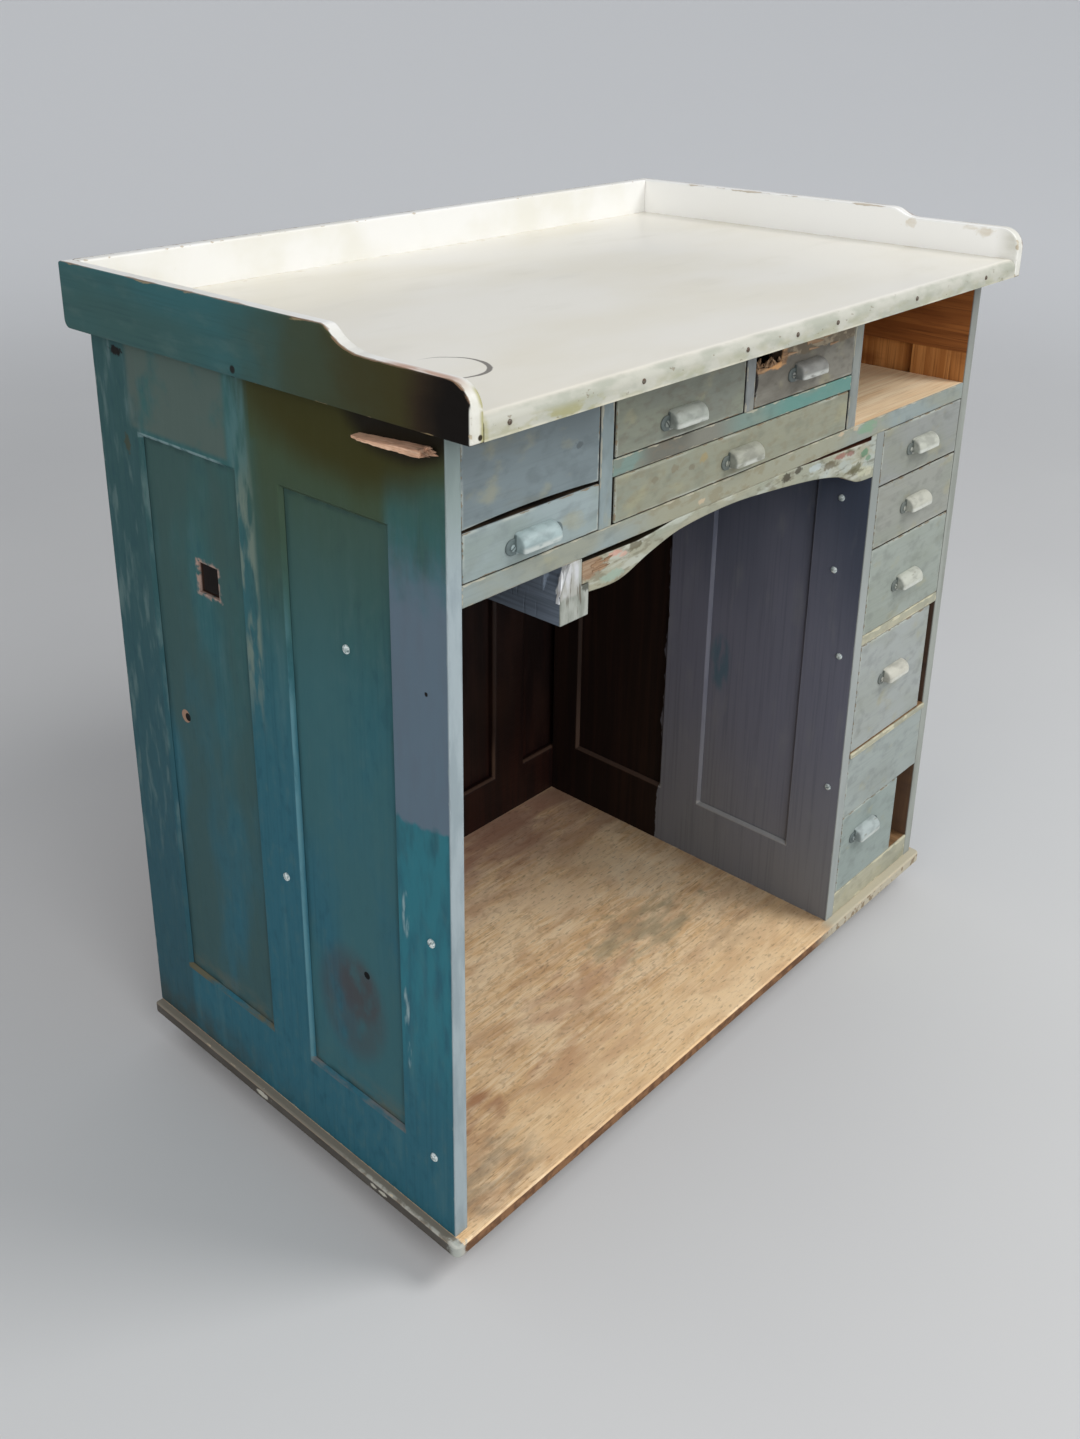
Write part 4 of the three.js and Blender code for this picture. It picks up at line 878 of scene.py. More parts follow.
white_splinter = Finish("cheek_splinter_paint", 0.25)
streaks = white_splinter.cloud(3 * MM, 117, "z", 6, detail=4)
colour = white_splinter.blend(streaks.rise(0.45, 0.7), shade(214, 216, 218), shade(172, 168, 160))
white_splinter.lay(colour, 0.7, streaks, 0.3 * MM)
low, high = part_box("hanging_cheek")
bm = bmesh.new()
for x, z, lean, length in ((3, 31, 3, 26), (7, 26, 2, 30), (11, 30, 1, 27), (1.5, 24, 1, 14)):
    root = Vector((low.x, FRONT, low.z)) + Vector((x, 3, z)) * MM
    add_splinter(bm, root, root + Vector((lean, 1.5, length)) * MM, 6 * MM, 4 * MM)
make("cheek_splinters", bm, white_splinter, "bench", 30)


# Pedestal carriers: runners that the drawers slide on, housed into the walls, and the rails and ledge in
# view. Raw wood polished by the drawers; the edges in view are cream paint worn yellow.
for seed, node in enumerate(("pedestal_runner_1", "pedestal_runner_2", "pedestal_runner_5"), 120):
    runner = Finish(f"{node}_wood")
    bare, fibre = wood(runner, "y", seed, shade(150, 116, 80), shade(120, 90, 60), shade(80, 58, 38))
    rubbed = runner.cloud(30 * MM, seed + 3, "y", 8, detail=3)
    bare = runner.blend(rubbed.rise(0.5, 0.7) * 0.5, bare, shade(96, 72, 48))
    runner.lay(bare, 0.55, fibre, 0.3 * MM)
    dress(node, runner)

for seed, node in enumerate(("pedestal_middle_rail", "pedestal_ledge", "pedestal_bottom_rail"), 130):
    rail = Finish(f"{node}_paint", 0.3)
    low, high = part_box(node)
    coat, strokes = front_coat(rail, ((172, 169, 147), (150, 151, 134)), seed)
    near_edge = rail.edge(low, high)
    worn = (rail.cloud(8 * MM, seed + 5, "x", 3, detail=5) - near_edge * 40).rise(0.42, 0.5)
    coat = rail.blend(worn * 0.6, coat, shade(208, 202, 172))
    bare, _ = wood(rail, "y", seed + 6, shade(150, 116, 80), shade(120, 90, 60), shade(80, 58, 38))
    painted = rail.y.rise(low.y + 3 * MM, low.y + 1.4 * MM)
    rail.lay(rail.blend(painted, bare, coat), 0.55, strokes * 0.4 - worn * painted, 0.3 * MM)
    dress(node, rail, 1.2 * MM)


# Drawers: each has a painted front with a cup pull, and a thin softwood box glued and nailed behind it.
# The box is four boards: two sides, a lower back and a bottom that stands between the sides.
def add_board(bm, low, high):
    """A board between two corners."""
    foot = [(low.x, low.y), (high.x, low.y), (high.x, high.y), (low.x, high.y)]
    bridge(bm, [[bm.verts.new((x, y, z)) for x, y in foot] for z in (low.z, high.z)])


def drawer_box(drawer, seed):
    """The jointed box behind a drawer's front."""
    node = f"{drawer}_box"
    low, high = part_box(node)
    side, bottom, gap = 10 * MM, 6 * MM, 0.2 * MM
    back_lower, back_inset, bottom_raised = 3 * MM, 1 * MM, 1 * MM
    inside_low, inside_high = low.x + side + gap, high.x - side - gap
    bm = bmesh.new()
    add_board(bm, low, Vector((low.x + side, high.y, high.z)))
    add_board(bm, Vector((high.x - side, low.y, low.z)), high)
    back_low = Vector((inside_low, high.y - side, low.z + bottom + gap))
    add_board(bm, back_low, Vector((inside_high, high.y - back_inset, high.z - back_lower)))
    bottom_high = Vector((inside_high, high.y, low.z + bottom))
    add_board(bm, Vector((inside_low, low.y, low.z + bottom_raised)), bottom_high)
    timber = Finish(f"{node}_wood")
    bare, fibre = wood(timber, "y", seed, shade(206, 168, 118), shade(174, 130, 84), shade(122, 86, 54))
    aged = timber.cloud(70 * MM, seed + 2, "y", 3, detail=5)
    bare = timber.blend(aged.rise(0.45, 0.7) * 0.5, bare, shade(150, 108, 68))
    used = timber.z.rise(low.z + bottom + 3 * MM, low.z + bottom)
    used = used * timber.cloud(40 * MM, seed + 3, detail=5).rise(0.35, 0.7)
    bare = timber.blend(used * 0.5, bare, shade(104, 82, 60))
    # Painted shade: the outer faces of the sides darker, as seen in the gaps beside the drawer.
    outer = (timber.x - low.x).rise(2 * MM, 1 * MM) | (high.x - timber.x).rise(2 * MM, 1 * MM)
    bare = timber.blend(outer * 0.6, bare, shade(84, 66, 50))
    timber.lay(bare, 0.68, fibre, 0.3 * MM)
    box = make(node.replace("_box", "_jointed_box"), bm, timber, drawer, 30)
    soften(box, 0.7 * MM)
    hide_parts(node)


HOOD_SIDES = 12
HOOD_HALF = 27 * MM
HOOD_WALL = 2.2 * MM
HOOD_DROP = 5 * MM
EAR_RADIUS = 8 * MM
EAR_THICKNESS = 2 * MM
HOOD_END = ((0, 0.74), (0.6, 0.85), (1.8, 0.94), (3.6, 0.985), (6, 1.0))


def cup_pull(drawer, tone, seed):
    """A cast cup pull: a hood with closed, rounded ends on a plate with two eared screw holes."""
    node = f"{drawer}_pull"
    low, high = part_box(node)
    middle = (low.x + high.x) / 2
    depth = high.y - low.y
    ears = low.z + EAR_RADIUS
    rise = high.z - ears
    left_end = [(inset * MM - HOOD_HALF, size) for inset, size in HOOD_END]
    columns = left_end + [(0.0, 1.0)] + [(-x, size) for x, size in left_end[::-1]]
    arc = [math.pi / 2 * i / HOOD_SIDES for i in range(HOOD_SIDES + 1)]
    bm = bmesh.new()
    hood = []
    for x, size in columns:
        profile = [(depth * size * math.sin(a), ears + rise * size * math.cos(a)) for a in arc]
        profile.append((depth * size, ears - HOOD_DROP * 0.6))
        profile.append((depth * size * 0.98, ears - HOOD_DROP))
        hood.append([bm.verts.new((middle + x, high.y - out, z)) for out, z in profile])
    faces = []
    for left, right in zip(hood, hood[1:]):
        for i in range(len(left) - 1):
            faces.append(bm.faces.new((left[i], left[i + 1], right[i + 1], right[i])))
    for end in (hood[0], hood[-1]):
        foot = bm.verts.new((end[0].co.x, high.y, ears - HOOD_DROP))
        faces.append(bm.faces.new([*end, foot]))
    bmesh.ops.recalc_face_normals(bm, faces=faces)
    bmesh.ops.solidify(bm, geom=faces, thickness=HOOD_WALL)
    reach = (high.x - low.x) / 2 - EAR_RADIUS
    turn = [math.pi * i / 12 - math.pi / 2 for i in range(13)]
    outline = [(reach + EAR_RADIUS * math.cos(a), EAR_RADIUS * math.sin(a)) for a in turn]
    outline += [(-x, -z) for x, z in outline]
    levels = [[(x * size, z * size, out) for x, z in outline] for size, out in (
        (1, 0), (1, EAR_THICKNESS * 0.6), (0.97, EAR_THICKNESS)
    )]
    across, up, out = Vector((1, 0, 0)), Vector((0, 0, 1)), Vector((0, -1, 0))
    plate = Vector((middle, high.y, ears))
    bridge(bm, [add_ring(bm, plate, across, up, out, level) for level in levels])
    for hand in (-1, 1):
        slot = Vector((math.cos(seed + hand), 0, math.sin(seed + hand)))
        add_screw(bm, plate + Vector((hand * reach, -EAR_THICKNESS, 0)), out, slot, 3.8 * MM)
    cast = Finish(f"{node}_paint", 0.4)
    # The pull's tone is lighter than its front's paint: painted light on the hood.
    runs = cast.cloud(12 * MM, seed, "x", 2, detail=4)
    darker = shade(*(level * 0.86 for level in tone))
    coat = cast.blend(runs.rise(0.42, 0.66), shade(*tone), darker)
    rubbed = cast.cloud(6 * MM, seed + 1, "x", 3, detail=4)
    coat = cast.blend(rubbed.rise(0.62, 0.72) * 0.6, coat, shade(124, 122, 108))
    # The lower lip paler where rubbed, which is also a painted highlight along the rim.
    lip = cast.band(cast.z, ears - HOOD_DROP, ears, 2 * MM) * cast.y.rise(low.y + 4 * MM, low.y + 1 * MM)
    coat = cast.blend(lip * rubbed.rise(0.3, 0.5) * 0.5, coat, shade(212, 215, 208))
    # Painted shade: the ears darkened, the screw heads less, as under the hood's shadow.
    shaded_ears = abs(cast.x - middle).rise(HOOD_HALF - 1.5 * MM, HOOD_HALF - 0.2 * MM)
    head = cast.y.rise(high.y - EAR_THICKNESS - 0.8 * MM, high.y - EAR_THICKNESS - 1.4 * MM)
    coat = cast.blend(shaded_ears * (1 - head * 0.6) * 0.8, coat, shade(62, 74, 74))
    cast.lay(coat, 0.4 + rubbed * 0.2, runs + rubbed * 0.3, 0.25 * MM)
    pull = make(node.replace("_pull", "_cup_pull"), bm, cast, drawer)
    soften(pull, 0.5 * MM)
    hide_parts(node)


BROKEN_WIDTH, BROKEN_HEIGHT = 53 * MM, 30 * MM
BROKEN_LOW, BROKEN_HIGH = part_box("small_right_drawer_front")


def torn_front(face, coat, seed):
    """The small right drawer's face round its broken corner: split wood, and no paint along the top."""
    tan, orange, brown = shade(176, 138, 98), shade(130, 98, 68), shade(66, 50, 38)
    split, _ = wood(face, "x", seed + 20, tan, orange, brown, 6 * MM, 3)
    split = face.blend(face.spot(face.x, face.z, (4, 917), 7, 2.4, 8), split, shade(204, 152, 98))
    ragged = face.cloud(8 * MM, seed + 21, "x", 2, detail=5) * 14 * MM
    from_hole = (face.x - BROKEN_LOW.x - BROKEN_WIDTH) | (BROKEN_HIGH.z - BROKEN_HEIGHT - face.z)
    stripped = (face.z + ragged).rise(932 * MM, 935 * MM)
    beige = face.blend(ragged.rise(6 * MM, 8 * MM), shade(150, 136, 112), shade(104, 92, 74))
    coat = face.blend(stripped * 0.85, coat, beige)
    coat = face.blend((face.z + ragged * 0.4).rise(941 * MM, 943 * MM) * 0.8, coat, shade(44, 36, 30))
    coat = face.blend((from_hole + ragged).rise(16 * MM, 12 * MM) * 0.9, coat, split)
    gap = face.spot(face.x, face.z, (-31, 908), 14, 0.3, 6)
    return face.blend(gap, coat, shade(24, 18, 14))


WIDE_MARKS = (
    ((-204, 842), 3.5, (112, 104, 84)),
    ((-171, 846), 4, (118, 108, 86)),
    ((-142, 841), 3.5, (108, 100, 82)),
    ((-120, 846), 5, (150, 132, 88)),
)
# Each drawer: its front's two tones, its pull's tone (the front's paint made lighter, as painted light on
# the hood) and its wear.
DRAWERS = {
    "left_drawer": (((142, 155, 156), (133, 145, 141)), (156, 173, 173), {}),
    "wide_drawer": (((136, 137, 119), (131, 135, 120)), (154, 155, 141), {
        "marks": WIDE_MARKS, "mottle": (124, 116, 94)
    }),
    "small_left_drawer": (((122, 126, 112), (116, 120, 110)), (152, 157, 148), {"mottle": (104, 98, 86)}),
    "small_right_drawer": (((121, 118, 108), (101, 97, 88)), (128, 128, 123), {
        "mottle": (84, 79, 70), "torn": torn_front
    }),
    "pedestal_drawer_1": (((139, 142, 138), (135, 138, 128)), (178, 180, 168), {}),
    "pedestal_drawer_2": (((144, 146, 138), (138, 142, 132)), (180, 180, 167), {}),
    "pedestal_drawer_3": (((147, 154, 146), (141, 148, 138)), (182, 184, 172), {}),
    "pedestal_drawer_4": (((156, 161, 158), (150, 155, 148)), (190, 188, 175), {}),
    "pedestal_drawer_5": (((144, 155, 150), (137, 148, 143)), (166, 176, 174), {}),
}
for seed, (drawer, (tones, pull_tone_with_painted_light, wear)) in enumerate(DRAWERS.items()):
    front = f"{drawer}_front"
    dress(front, painted_front(front, tones, 140 + 10 * seed, **wear), 1.2 * MM)
    drawer_box(drawer, 240 + 5 * seed)
    cup_pull(drawer, pull_tone_with_painted_light, 300 + 4 * seed)

draw = random.Random(5)
bm = bmesh.new()
break_level = BROKEN_HIGH.z - BROKEN_HEIGHT
for i in range(15):
    x = BROKEN_LOW.x + (3 + 3.3 * i) * MM
    y = FRONT + draw.uniform(2, 13) * MM
    root = Vector((x, y, break_level - 5 * MM))
    tip = root + Vector((draw.uniform(-8, 8), draw.uniform(-1, 1), draw.uniform(5.5, 10))) * MM
    tip.x = max(tip.x, BROKEN_LOW.x + 2 * MM)
    add_splinter(bm, root, tip, draw.uniform(4, 8) * MM, draw.uniform(2, 4) * MM)
for i in range(6):
    x = BROKEN_LOW.x + BROKEN_WIDTH + draw.uniform(-4, 96) * MM
    root = Vector((x, FRONT + 0.3 * MM, draw.uniform(924, 938) * MM))
    tip = root + Vector((draw.uniform(16, 38), -draw.uniform(0.4, 1.6), draw.uniform(-2, 3))) * MM
    add_splinter(bm, root, tip, draw.uniform(2, 5) * MM, draw.uniform(0.8, 1.6) * MM)
make("broken_corner_splinters", bm, splinter_wood, "small_right_drawer", 30)


# Tray: a thick board with a rounded front edge, lined with a sheet of white enamelled metal folded over it.
# The lining is glossy, faintly yellowed, marked by a cup near its front corner and grimy along the nailed
# fold.
tray = Finish("tray_board_wood")
bare, fibre = wood(tray, "x", 350, shade(120, 94, 66), shade(96, 72, 50), shade(62, 44, 30))
aged = tray.cloud(80 * MM, 352, "x", 3, detail=5)
tray.lay(tray.blend(aged.rise(0.4, 0.7) * 0.5, bare, shade(64, 50, 38)), 0.75, fibre, 0.4 * MM)
dress("tray_board", tray)

LINING_LOW, LINING_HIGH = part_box("tray_lining")
CUP_RING, CUP_RADIUS = (-408, -179), 40 * MM
lining = Finish("tray_lining_enamel", 0.5)
yellowing = lining.cloud(180 * MM, 355, "x", 2, detail=4)
enamel = lining.blend(yellowing.rise(0.4, 0.7), shade(236, 232, 221), shade(231, 225, 208))
haze = lining.cloud(40 * MM, 356, "x", 3, detail=5)
enamel = lining.blend(haze.rise(0.55, 0.78) * 0.25, enamel, shade(208, 203, 186))
rust = lining.cloud(14 * MM, 357, detail=5)
to_rim = (lining.x - LINING_LOW.x) & (LINING_HIGH.x - lining.x) & (LINING_HIGH.y - lining.y)
enamel = lining.blend((rust - to_rim * 14).rise(0.44, 0.58) * 0.35, enamel, shade(190, 172, 134))
across, beyond = lining.x - CUP_RING[0] * MM, lining.y - CUP_RING[1] * MM
square = across * across + beyond * beyond
from_middle = square.math("SQRT", square)
from_ring = abs(from_middle + (lining.cloud(20 * MM, 358, detail=3) - 0.5) * 5 * MM - CUP_RADIUS)
thick = (across - beyond * 0.9).rise(0, 58 * MM)
ring = (from_ring - thick * 1.6 * MM).rise(1.6 * MM, 0.2 * MM)
ring = ring * (across - beyond * 0.5).rise(-22 * MM, 12 * MM)
enamel = lining.blend(ring * 0.9, enamel, shade(74, 64, 50))
fold = lining.y.rise(LINING_LOW.y + 9 * MM, LINING_LOW.y + 2.5 * MM)
grimy = lining.cloud(17 * MM, 360, "x", 2.4, detail=6)
enamel = lining.blend(fold * 0.85, enamel, shade(172, 172, 160))
enamel = lining.blend(fold * grimy.rise(0.4, 0.62) * 0.6, enamel, shade(150, 154, 138))
green = lining.band(lining.x, -455 * MM, -340 * MM, 50 * MM)
low_fold = lining.z.rise(973 * MM, 963 * MM) * fold
stained = low_fold * lining.cloud(9 * MM, 361, "x", 2.5, detail=6).rise(0.4, 0.6)
enamel = lining.blend(stained * (green * 0.5 + 0.25), enamel, shade(150, 146, 96))
scraped = fold * lining.cloud(6 * MM, 362, "x", 1.6, detail=5).rise(0.66, 0.71)
enamel = lining.blend(scraped * 0.6, enamel, shade(122, 110, 88))
joint = fold * lining.x.rise(LINING_LOW.x + 7 * MM, LINING_LOW.x + 1 * MM) * grimy.rise(0.25, 0.5)
enamel = lining.blend(joint * 0.7, enamel, shade(150, 144, 72))
hem = fold * lining.z.rise(LINING_LOW.z + 3 * MM, LINING_LOW.z + 1 * MM)
enamel = lining.blend(hem * grimy.rise(0.6, 0.4) * 0.6, enamel, shade(206, 202, 182))
lining.shader.inputs["Coat Roughness"].default_value = 0.14
lining.feed(lining.shader.inputs["Coat Weight"], 0.4 - fold * 0.35)
lining.lay(enamel, 0.32 + fold * 0.25 + haze * 0.1, haze * 0.3 + grimy * fold * 0.6 - scraped, 0.25 * MM)
dress("tray_lining", lining, 0.5 * MM)


# Nails of the tray's front edge: round wire nails that hold the folded lining down, most of them rusty.
NAILS = (-465, -285, -117, -25, 55, 232, 411)
NAIL_LEVEL = 968 * MM
NAIL_RADIUS = 2.7 * MM
NAIL_SIDES = 14
NAIL_HEAD = ((1, -0.3), (1, 0.15), (0.8, 0.38), (0.4, 0.5))
nail_iron = Finish("nail_iron", 0.5)
rusty = nail_iron.cloud(2 * MM, 365, detail=3)
colour = nail_iron.blend(rusty.rise(0.4, 0.6), shade(104, 98, 88), shade(84, 62, 46))
nail_iron.shader.inputs["Metallic"].default_value = 0.4
nail_iron.lay(colour, 0.55, rusty, 0.2 * MM)
around = [2 * math.pi * i / NAIL_SIDES for i in range(NAIL_SIDES)]
across, up, forward = Vector((1, 0, 0)), Vector((0, 0, 1)), Vector((0, -1, 0))
bm = bmesh.new()
for x in NAILS:
    centre = Vector((x * MM, LINING_LOW.y, NAIL_LEVEL))
    rings = []
    for share, height in NAIL_HEAD:
        reach, out = NAIL_RADIUS * share, NAIL_RADIUS * height
        level = [(reach * math.cos(a), reach * math.sin(a), out) for a in around]
        rings.append(add_ring(bm, centre, across, up, forward, level))
    bridge(bm, rings)
make("tray_edge_nails", bm, nail_iron, "bench")


# Gallery: a plain back board between two side boards, glued round the tray to keep small parts on it.
# White inside, along the top and on the front ends, teal outside; the left side is browned towards its front
# and black with soot at the nose.
def white_paint(finish, seed):
    """Thick white oil paint, a little yellowed, chipped to brown wood here and there."""
    tone = finish.cloud(90 * MM, seed, detail=4)
    white = finish.blend(tone.rise(0.4, 0.7), shade(232, 231, 227), shade(225, 223, 214))
    spots = finish.cloud(8 * MM, seed + 1, detail=4).rise(0.72, 0.77)
    return finish.blend(spots * 0.6, white, shade(170, 150, 112))


RUBBED_THROUGH = (((-266, 1010), 6, 1.8), ((-160, 1011), 6, 1.3), ((-244, 1014), 3, 3))
for seed, (node, outer) in enumerate((("gallery_left", -1), ("gallery_right", 1), ("gallery_back", 0)), 370):
    rail = Finish(f"{node}_paint", 0.2)
    low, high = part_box(node)
    white = white_paint(rail, seed * 3)
    strokes = rail.cloud(3 * MM, seed + 10, "x" if outer == 0 else "y", 45)
    swathe = rail.cloud(110 * MM, seed + 11, "y", 3, detail=4)
    coat = rail.blend(swathe.rise(0.38, 0.66), shade(48, 96, 100), shade(54, 88, 86))
    coat = rail.blend(strokes.rise(0.45, 0.75) * 0.3, coat, shade(34, 68, 72))
    line = rail.cloud(10 * MM, seed + 13, "y", 4, detail=5)
    if outer == 0:
        from_face = high.y - rail.y
        outside = from_face.rise(4 * MM, 2 * MM)
    else:
        from_face = (rail.x - low.x) if outer < 0 else (high.x - rail.x)
        outside = from_face.rise(3.4 * MM, 1.8 * MM)
        front_end = rail.y.rise(low.y + 34 * MM, low.y + 8 * MM)
        if outer > 0:
            # Painted light: the right side's inner face whiter than the rest of the white paint.
            white = rail.blend((rail.x - low.x).rise(4 * MM, 2 * MM), white, shade(250, 249, 245))
            for place, radius, stretch in RUBBED_THROUGH:
                rubbed = rail.spot(rail.y, rail.z, place, radius, stretch, 5) * line.rise(0.25, 0.7)
                white = rail.blend(rubbed * 0.55, white, shade(206, 192, 164))
        white = rail.blend(front_end * (line * 0.8 + 0.1), white, shade(190, 188, 172))
    faded = rail.cloud(20 * MM, seed + 14, "y", 2.5, detail=7)
    coat = rail.blend(faded.rise(0.5, 0.74) * 0.35, coat, shade(84, 108, 104))
    soot = 0
    if outer == -1:
        wobble = (rail.cloud(60 * MM, seed + 12, detail=6) - 0.5) * 0.12
        green_brown = (rail.y + wobble).rise(40 * MM, -110 * MM)
        coat = rail.blend(green_brown * 0.9, coat, shade(58, 66, 44))
        olive = (rail.y + wobble).rise(-110 * MM, -215 * MM)
        coat = rail.blend(olive * 0.9, coat, shade(56, 50, 12))
        red_brown = (rail.y + wobble * 0.5).rise(-222 * MM, -266 * MM)
        coat = rail.blend(red_brown * 0.85, coat, shade(40, 23, 8))
        soot = (rail.y + wobble * 0.4).rise(-248 * MM, -288 * MM)
        coat = rail.blend(soot * 0.95, coat, shade(10, 6, 4))
        coat = rail.blend(rail.spot(rail.y, rail.z, (6, 964), 4), coat, shade(24, 26, 24))
        burnt = rail.band(rail.y, -294 * MM, -212 * MM, 18 * MM) * rail.z.rise(990 * MM, 1000 * MM)
        burnt = burnt * from_face.rise(15 * MM, 8 * MM) * line.rise(0.24, 0.48)
        white = rail.blend(burnt * 0.8, white, shade(178, 132, 106))
        # Painted shade: the white greyed along the ogee's slope.
        ogee_shade = rail.band(rail.y, -184 * MM, -134 * MM, 8 * MM) * rail.z.rise(1000 * MM, 1006 * MM)
        white = rail.blend(ogee_shade * (line * 0.5 + 0.25), white, shade(202, 201, 192))
        nose = rail.y.rise(low.y + 12 * MM, low.y + 6 * MM)
        groove = nose * (high.x - rail.x).rise(7 * MM, 2 * MM) * line.rise(0.25, 0.45)
        white = rail.blend(groove * 0.75, white, shade(150, 144, 72))
        hole = rail.spot(rail.x, rail.z, (-500, 962), 2.6) * nose
        white = rail.blend(hole, white, shade(52, 44, 28))
        outside = outside * (rail.y - low.y).rise(0.6 * MM, 2 * MM)
    below = rail.z.rise(low.z + 2 * MM, low.z + 0.8 * MM)
    behind = (high.y - rail.y).rise(3.4 * MM, 1.8 * MM)
    colour = rail.blend(outside | below | behind, white, coat)
    seam = abs(from_face - 2.6 * MM)
    seam_line = (line - seam * 80).rise(0.4, 0.5) * rail.z.rise(low.z + 16 * MM, low.z + 26 * MM)
    seam_line = seam_line * from_face.rise(0.5 * MM, 1.1 * MM)
    colour = rail.blend(seam_line * 0.7, colour, shade(132, 104, 80))
    near_edge = rail.edge(low, high)
    knocked = 0.1 if outer > 0 else 0.0
    chips = (line + knocked - near_edge * 60).rise(0.52, 0.58)
    colour = rail.blend(chips * 0.6, colour, shade(170, 148, 110))
    glaze = 0.34 + outside * 0.2
    relief = strokes * 0.4 * outside - chips - seam_line
    rail.lay(colour, glaze + line * 0.1 + outside * soot * 0.3, relief, 0.3 * MM)
    dress(node, rail, 2.4 * MM)


# Torn strip: what is left of a moulding that was glued under the left gallery and broken away.
# A flat wedge of bare, pinkish wood that thins out behind and ends in splinters in front.
STRIP_REAR, STRIP_FRONT = -160, -252
STRIP_OUT = 15
STRIP_LEVEL, STRIP_CLIMB = 933.5, 7
STRIP_EDGE, STRIP_SWELL = 2, 5
STATIONS = 24
strip_wood = Finish("torn_strip_wood", 0.2)
tan, orange, brown = shade(240, 200, 168), shade(218, 170, 138), shade(150, 104, 78)
colour, fibre = wood(strip_wood, "y", 390, tan, orange, brown, 4 * MM)
dirty = strip_wood.cloud(9 * MM, 392, "y", 4, detail=5)
on_top = (strip_wood.z + strip_wood.y * 0.07).rise(921.6 * MM, 922.2 * MM)
colour = strip_wood.blend(on_top * 0.15, colour, shade(170, 122, 104))
colour = strip_wood.blend(dirty.rise(0.55, 0.75) * 0.35, colour, shade(110, 74, 56))
sooty = strip_wood.y.rise(-226 * MM, -254 * MM)
colour = strip_wood.blend(sooty * dirty.rise(0.3, 0.6) * 0.7, colour, shade(44, 30, 22))
strip_wood.lay(colour, 0.78, fibre + dirty, 0.4 * MM)
draw = random.Random(11)
bm = bmesh.new()
rings = []
for i in range(STATIONS + 1):
    share = i / STATIONS
    y = STRIP_REAR + (STRIP_FRONT - STRIP_REAR) * share
    out = STRIP_OUT * min(1, 0.7 + share * 1.5) + draw.uniform(-0.7, 0.7)
    top = STRIP_LEVEL + STRIP_CLIMB * share + draw.uniform(-0.25, 0.25)
    thick = STRIP_EDGE + STRIP_SWELL * share + draw.uniform(-0.3, 0.3)
    upper = ((0, 0.4), (0.6 * out, 0.3), (out, 0))
    section = (*upper, (out * 0.97, -thick), (out * 0.5, -thick - 0.8), (0, -thick))
    rings.append([bm.verts.new((LEFT - a * MM, y * MM, (top + b) * MM)) for a, b in section])
bridge(bm, rings)
for _ in range(9):
    root = Vector((LEFT - draw.uniform(1, 11) * MM, (STRIP_FRONT + 3) * MM, draw.uniform(935, 940) * MM))
    tip = root + Vector((draw.uniform(-1, 1), -draw.uniform(6, 16), draw.uniform(-1, 3))) * MM
    add_splinter(bm, root, tip, draw.uniform(2, 4) * MM, draw.uniform(1, 3) * MM)
make("torn_strip", bm, strip_wood, "bench", 35)


# Studio: a pale floor that curves up into a round backdrop, soft light from above at the front right with
# weaker light from the front and the left, and the camera at the photo's point of view.
STUDIO_SIDES = 96
SWEEP = 4.0
BACKDROP = [(r, 0.0) for r in (0.4, 2.0, SWEEP)]
for i in range(1, 11):
    lean = math.pi / 24 * i
    BACKDROP.append((SWEEP + SWEEP * math.sin(lean), SWEEP - SWEEP * math.cos(lean)))
ground = Finish("studio_floor", 0.1)
mottle = ground.cloud(0.6, 400, detail=3)
away = (ground.x * ground.x + ground.y * ground.y).rise(3, 30)
grey = ground.blend(mottle, shade(208, 208, 207), shade(202, 202, 202))
pale = ground.blend(away, grey, shade(240, 241, 242))
ground.lay(pale, 0.85, mottle, 0.1 * MM)
bm = bmesh.new()
turns = [2 * math.pi * i / STUDIO_SIDES for i in range(STUDIO_SIDES)]
rings = [[bm.verts.new((r * math.cos(a), r * math.sin(a), z)) for a in turns] for r, z in BACKDROP]
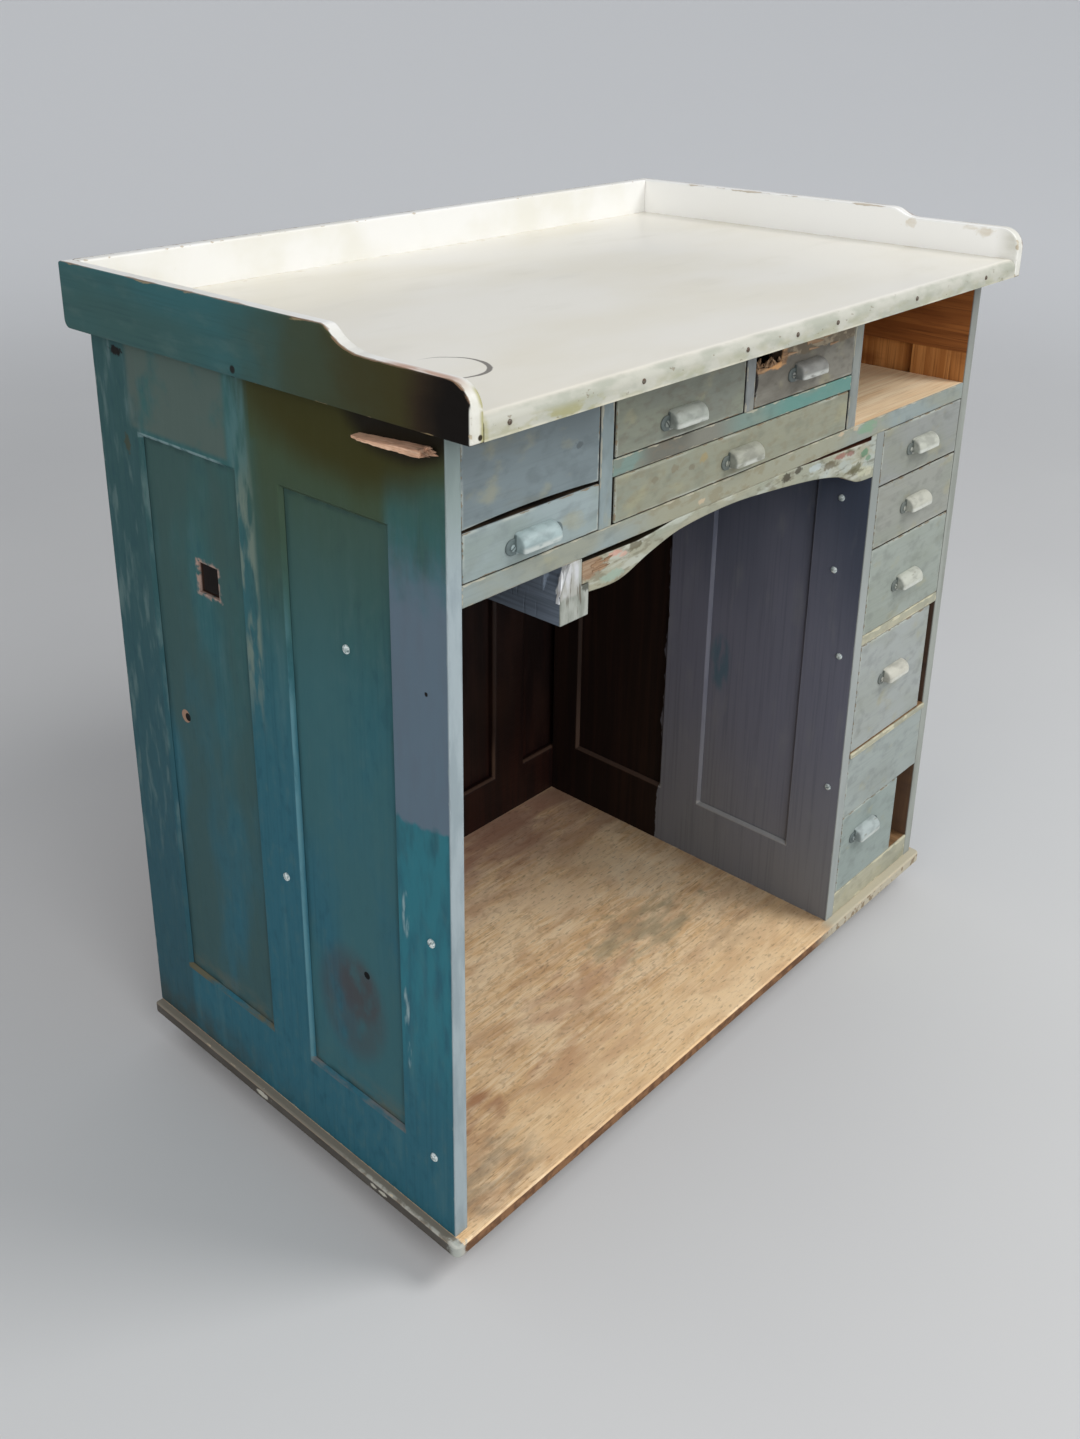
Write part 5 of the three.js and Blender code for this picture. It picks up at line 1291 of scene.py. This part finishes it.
for inner, outer in zip(rings, rings[1:]):
    for i, corner in enumerate(inner):
        after = (i + 1) % STUDIO_SIDES
        bm.faces.new((corner, outer[i], outer[after], inner[after]))
bm.faces.new(rings[0])
mesh = bpy.data.meshes.new("studio_floor")
bm.to_mesh(mesh)
bm.free()
mesh.shade_smooth()
mesh.materials.append(ground.material)
studio_floor = bpy.data.objects.new("studio_floor", mesh)
bpy.context.scene.collection.objects.link(studio_floor)
studio_floor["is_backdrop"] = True

world = bpy.data.worlds.new("studio_air")
world.use_nodes = True
air = world.node_tree.nodes["Background"]
air.inputs["Color"].default_value = shade(238, 241, 246)
air.inputs["Strength"].default_value = 0.5
bpy.context.scene.world = world

LAMPS = {
    "key_lamp": ((2.0, -2.7, 3.9), 2.0, 108),
    "front_lamp": ((-1.3, -3.4, 2.1), 2.4, 54),
    "left_lamp": ((-3.3, -0.6, 2.2), 2.2, 20),
}
for name, (place, size, power) in LAMPS.items():
    lamp = bpy.data.lights.new(name, "AREA")
    lamp.shape = "DISK"
    lamp.size = size
    lamp.energy = power
    stand = bpy.data.objects.new(name, lamp)
    stand.location = place
    stand.rotation_mode = "QUATERNION"
    stand.rotation_quaternion = (Vector((0, 0, 0.6)) - Vector(place)).to_track_quat("-Z", "Y")
    stand.visible_camera = False
    bpy.context.scene.collection.objects.link(stand)

CAMERA_PLACE = (-1.2692, -1.0640, 1.2974)
HEADING, PITCH, ROLL = math.radians(46.74), math.radians(-21.44), math.radians(0.2)
lens = bpy.data.cameras.new("photo_camera")
lens.sensor_width = 36
lens.lens = 34.585
lens.shift_x = 0.02452
lens.shift_y = -0.12648
camera = bpy.data.objects.new("photo_camera", lens)
camera.location = CAMERA_PLACE
sight = Vector((math.sin(HEADING) * math.cos(PITCH), math.cos(HEADING) * math.cos(PITCH), math.sin(PITCH)))
camera.rotation_mode = "QUATERNION"
camera.rotation_quaternion = sight.to_track_quat("-Z", "Y") @ Quaternion((0, 0, 1), ROLL)
bpy.context.scene.collection.objects.link(camera)
bpy.context.scene.camera = camera
bpy.context.scene.view_settings.view_transform = "Standard"

low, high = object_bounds()
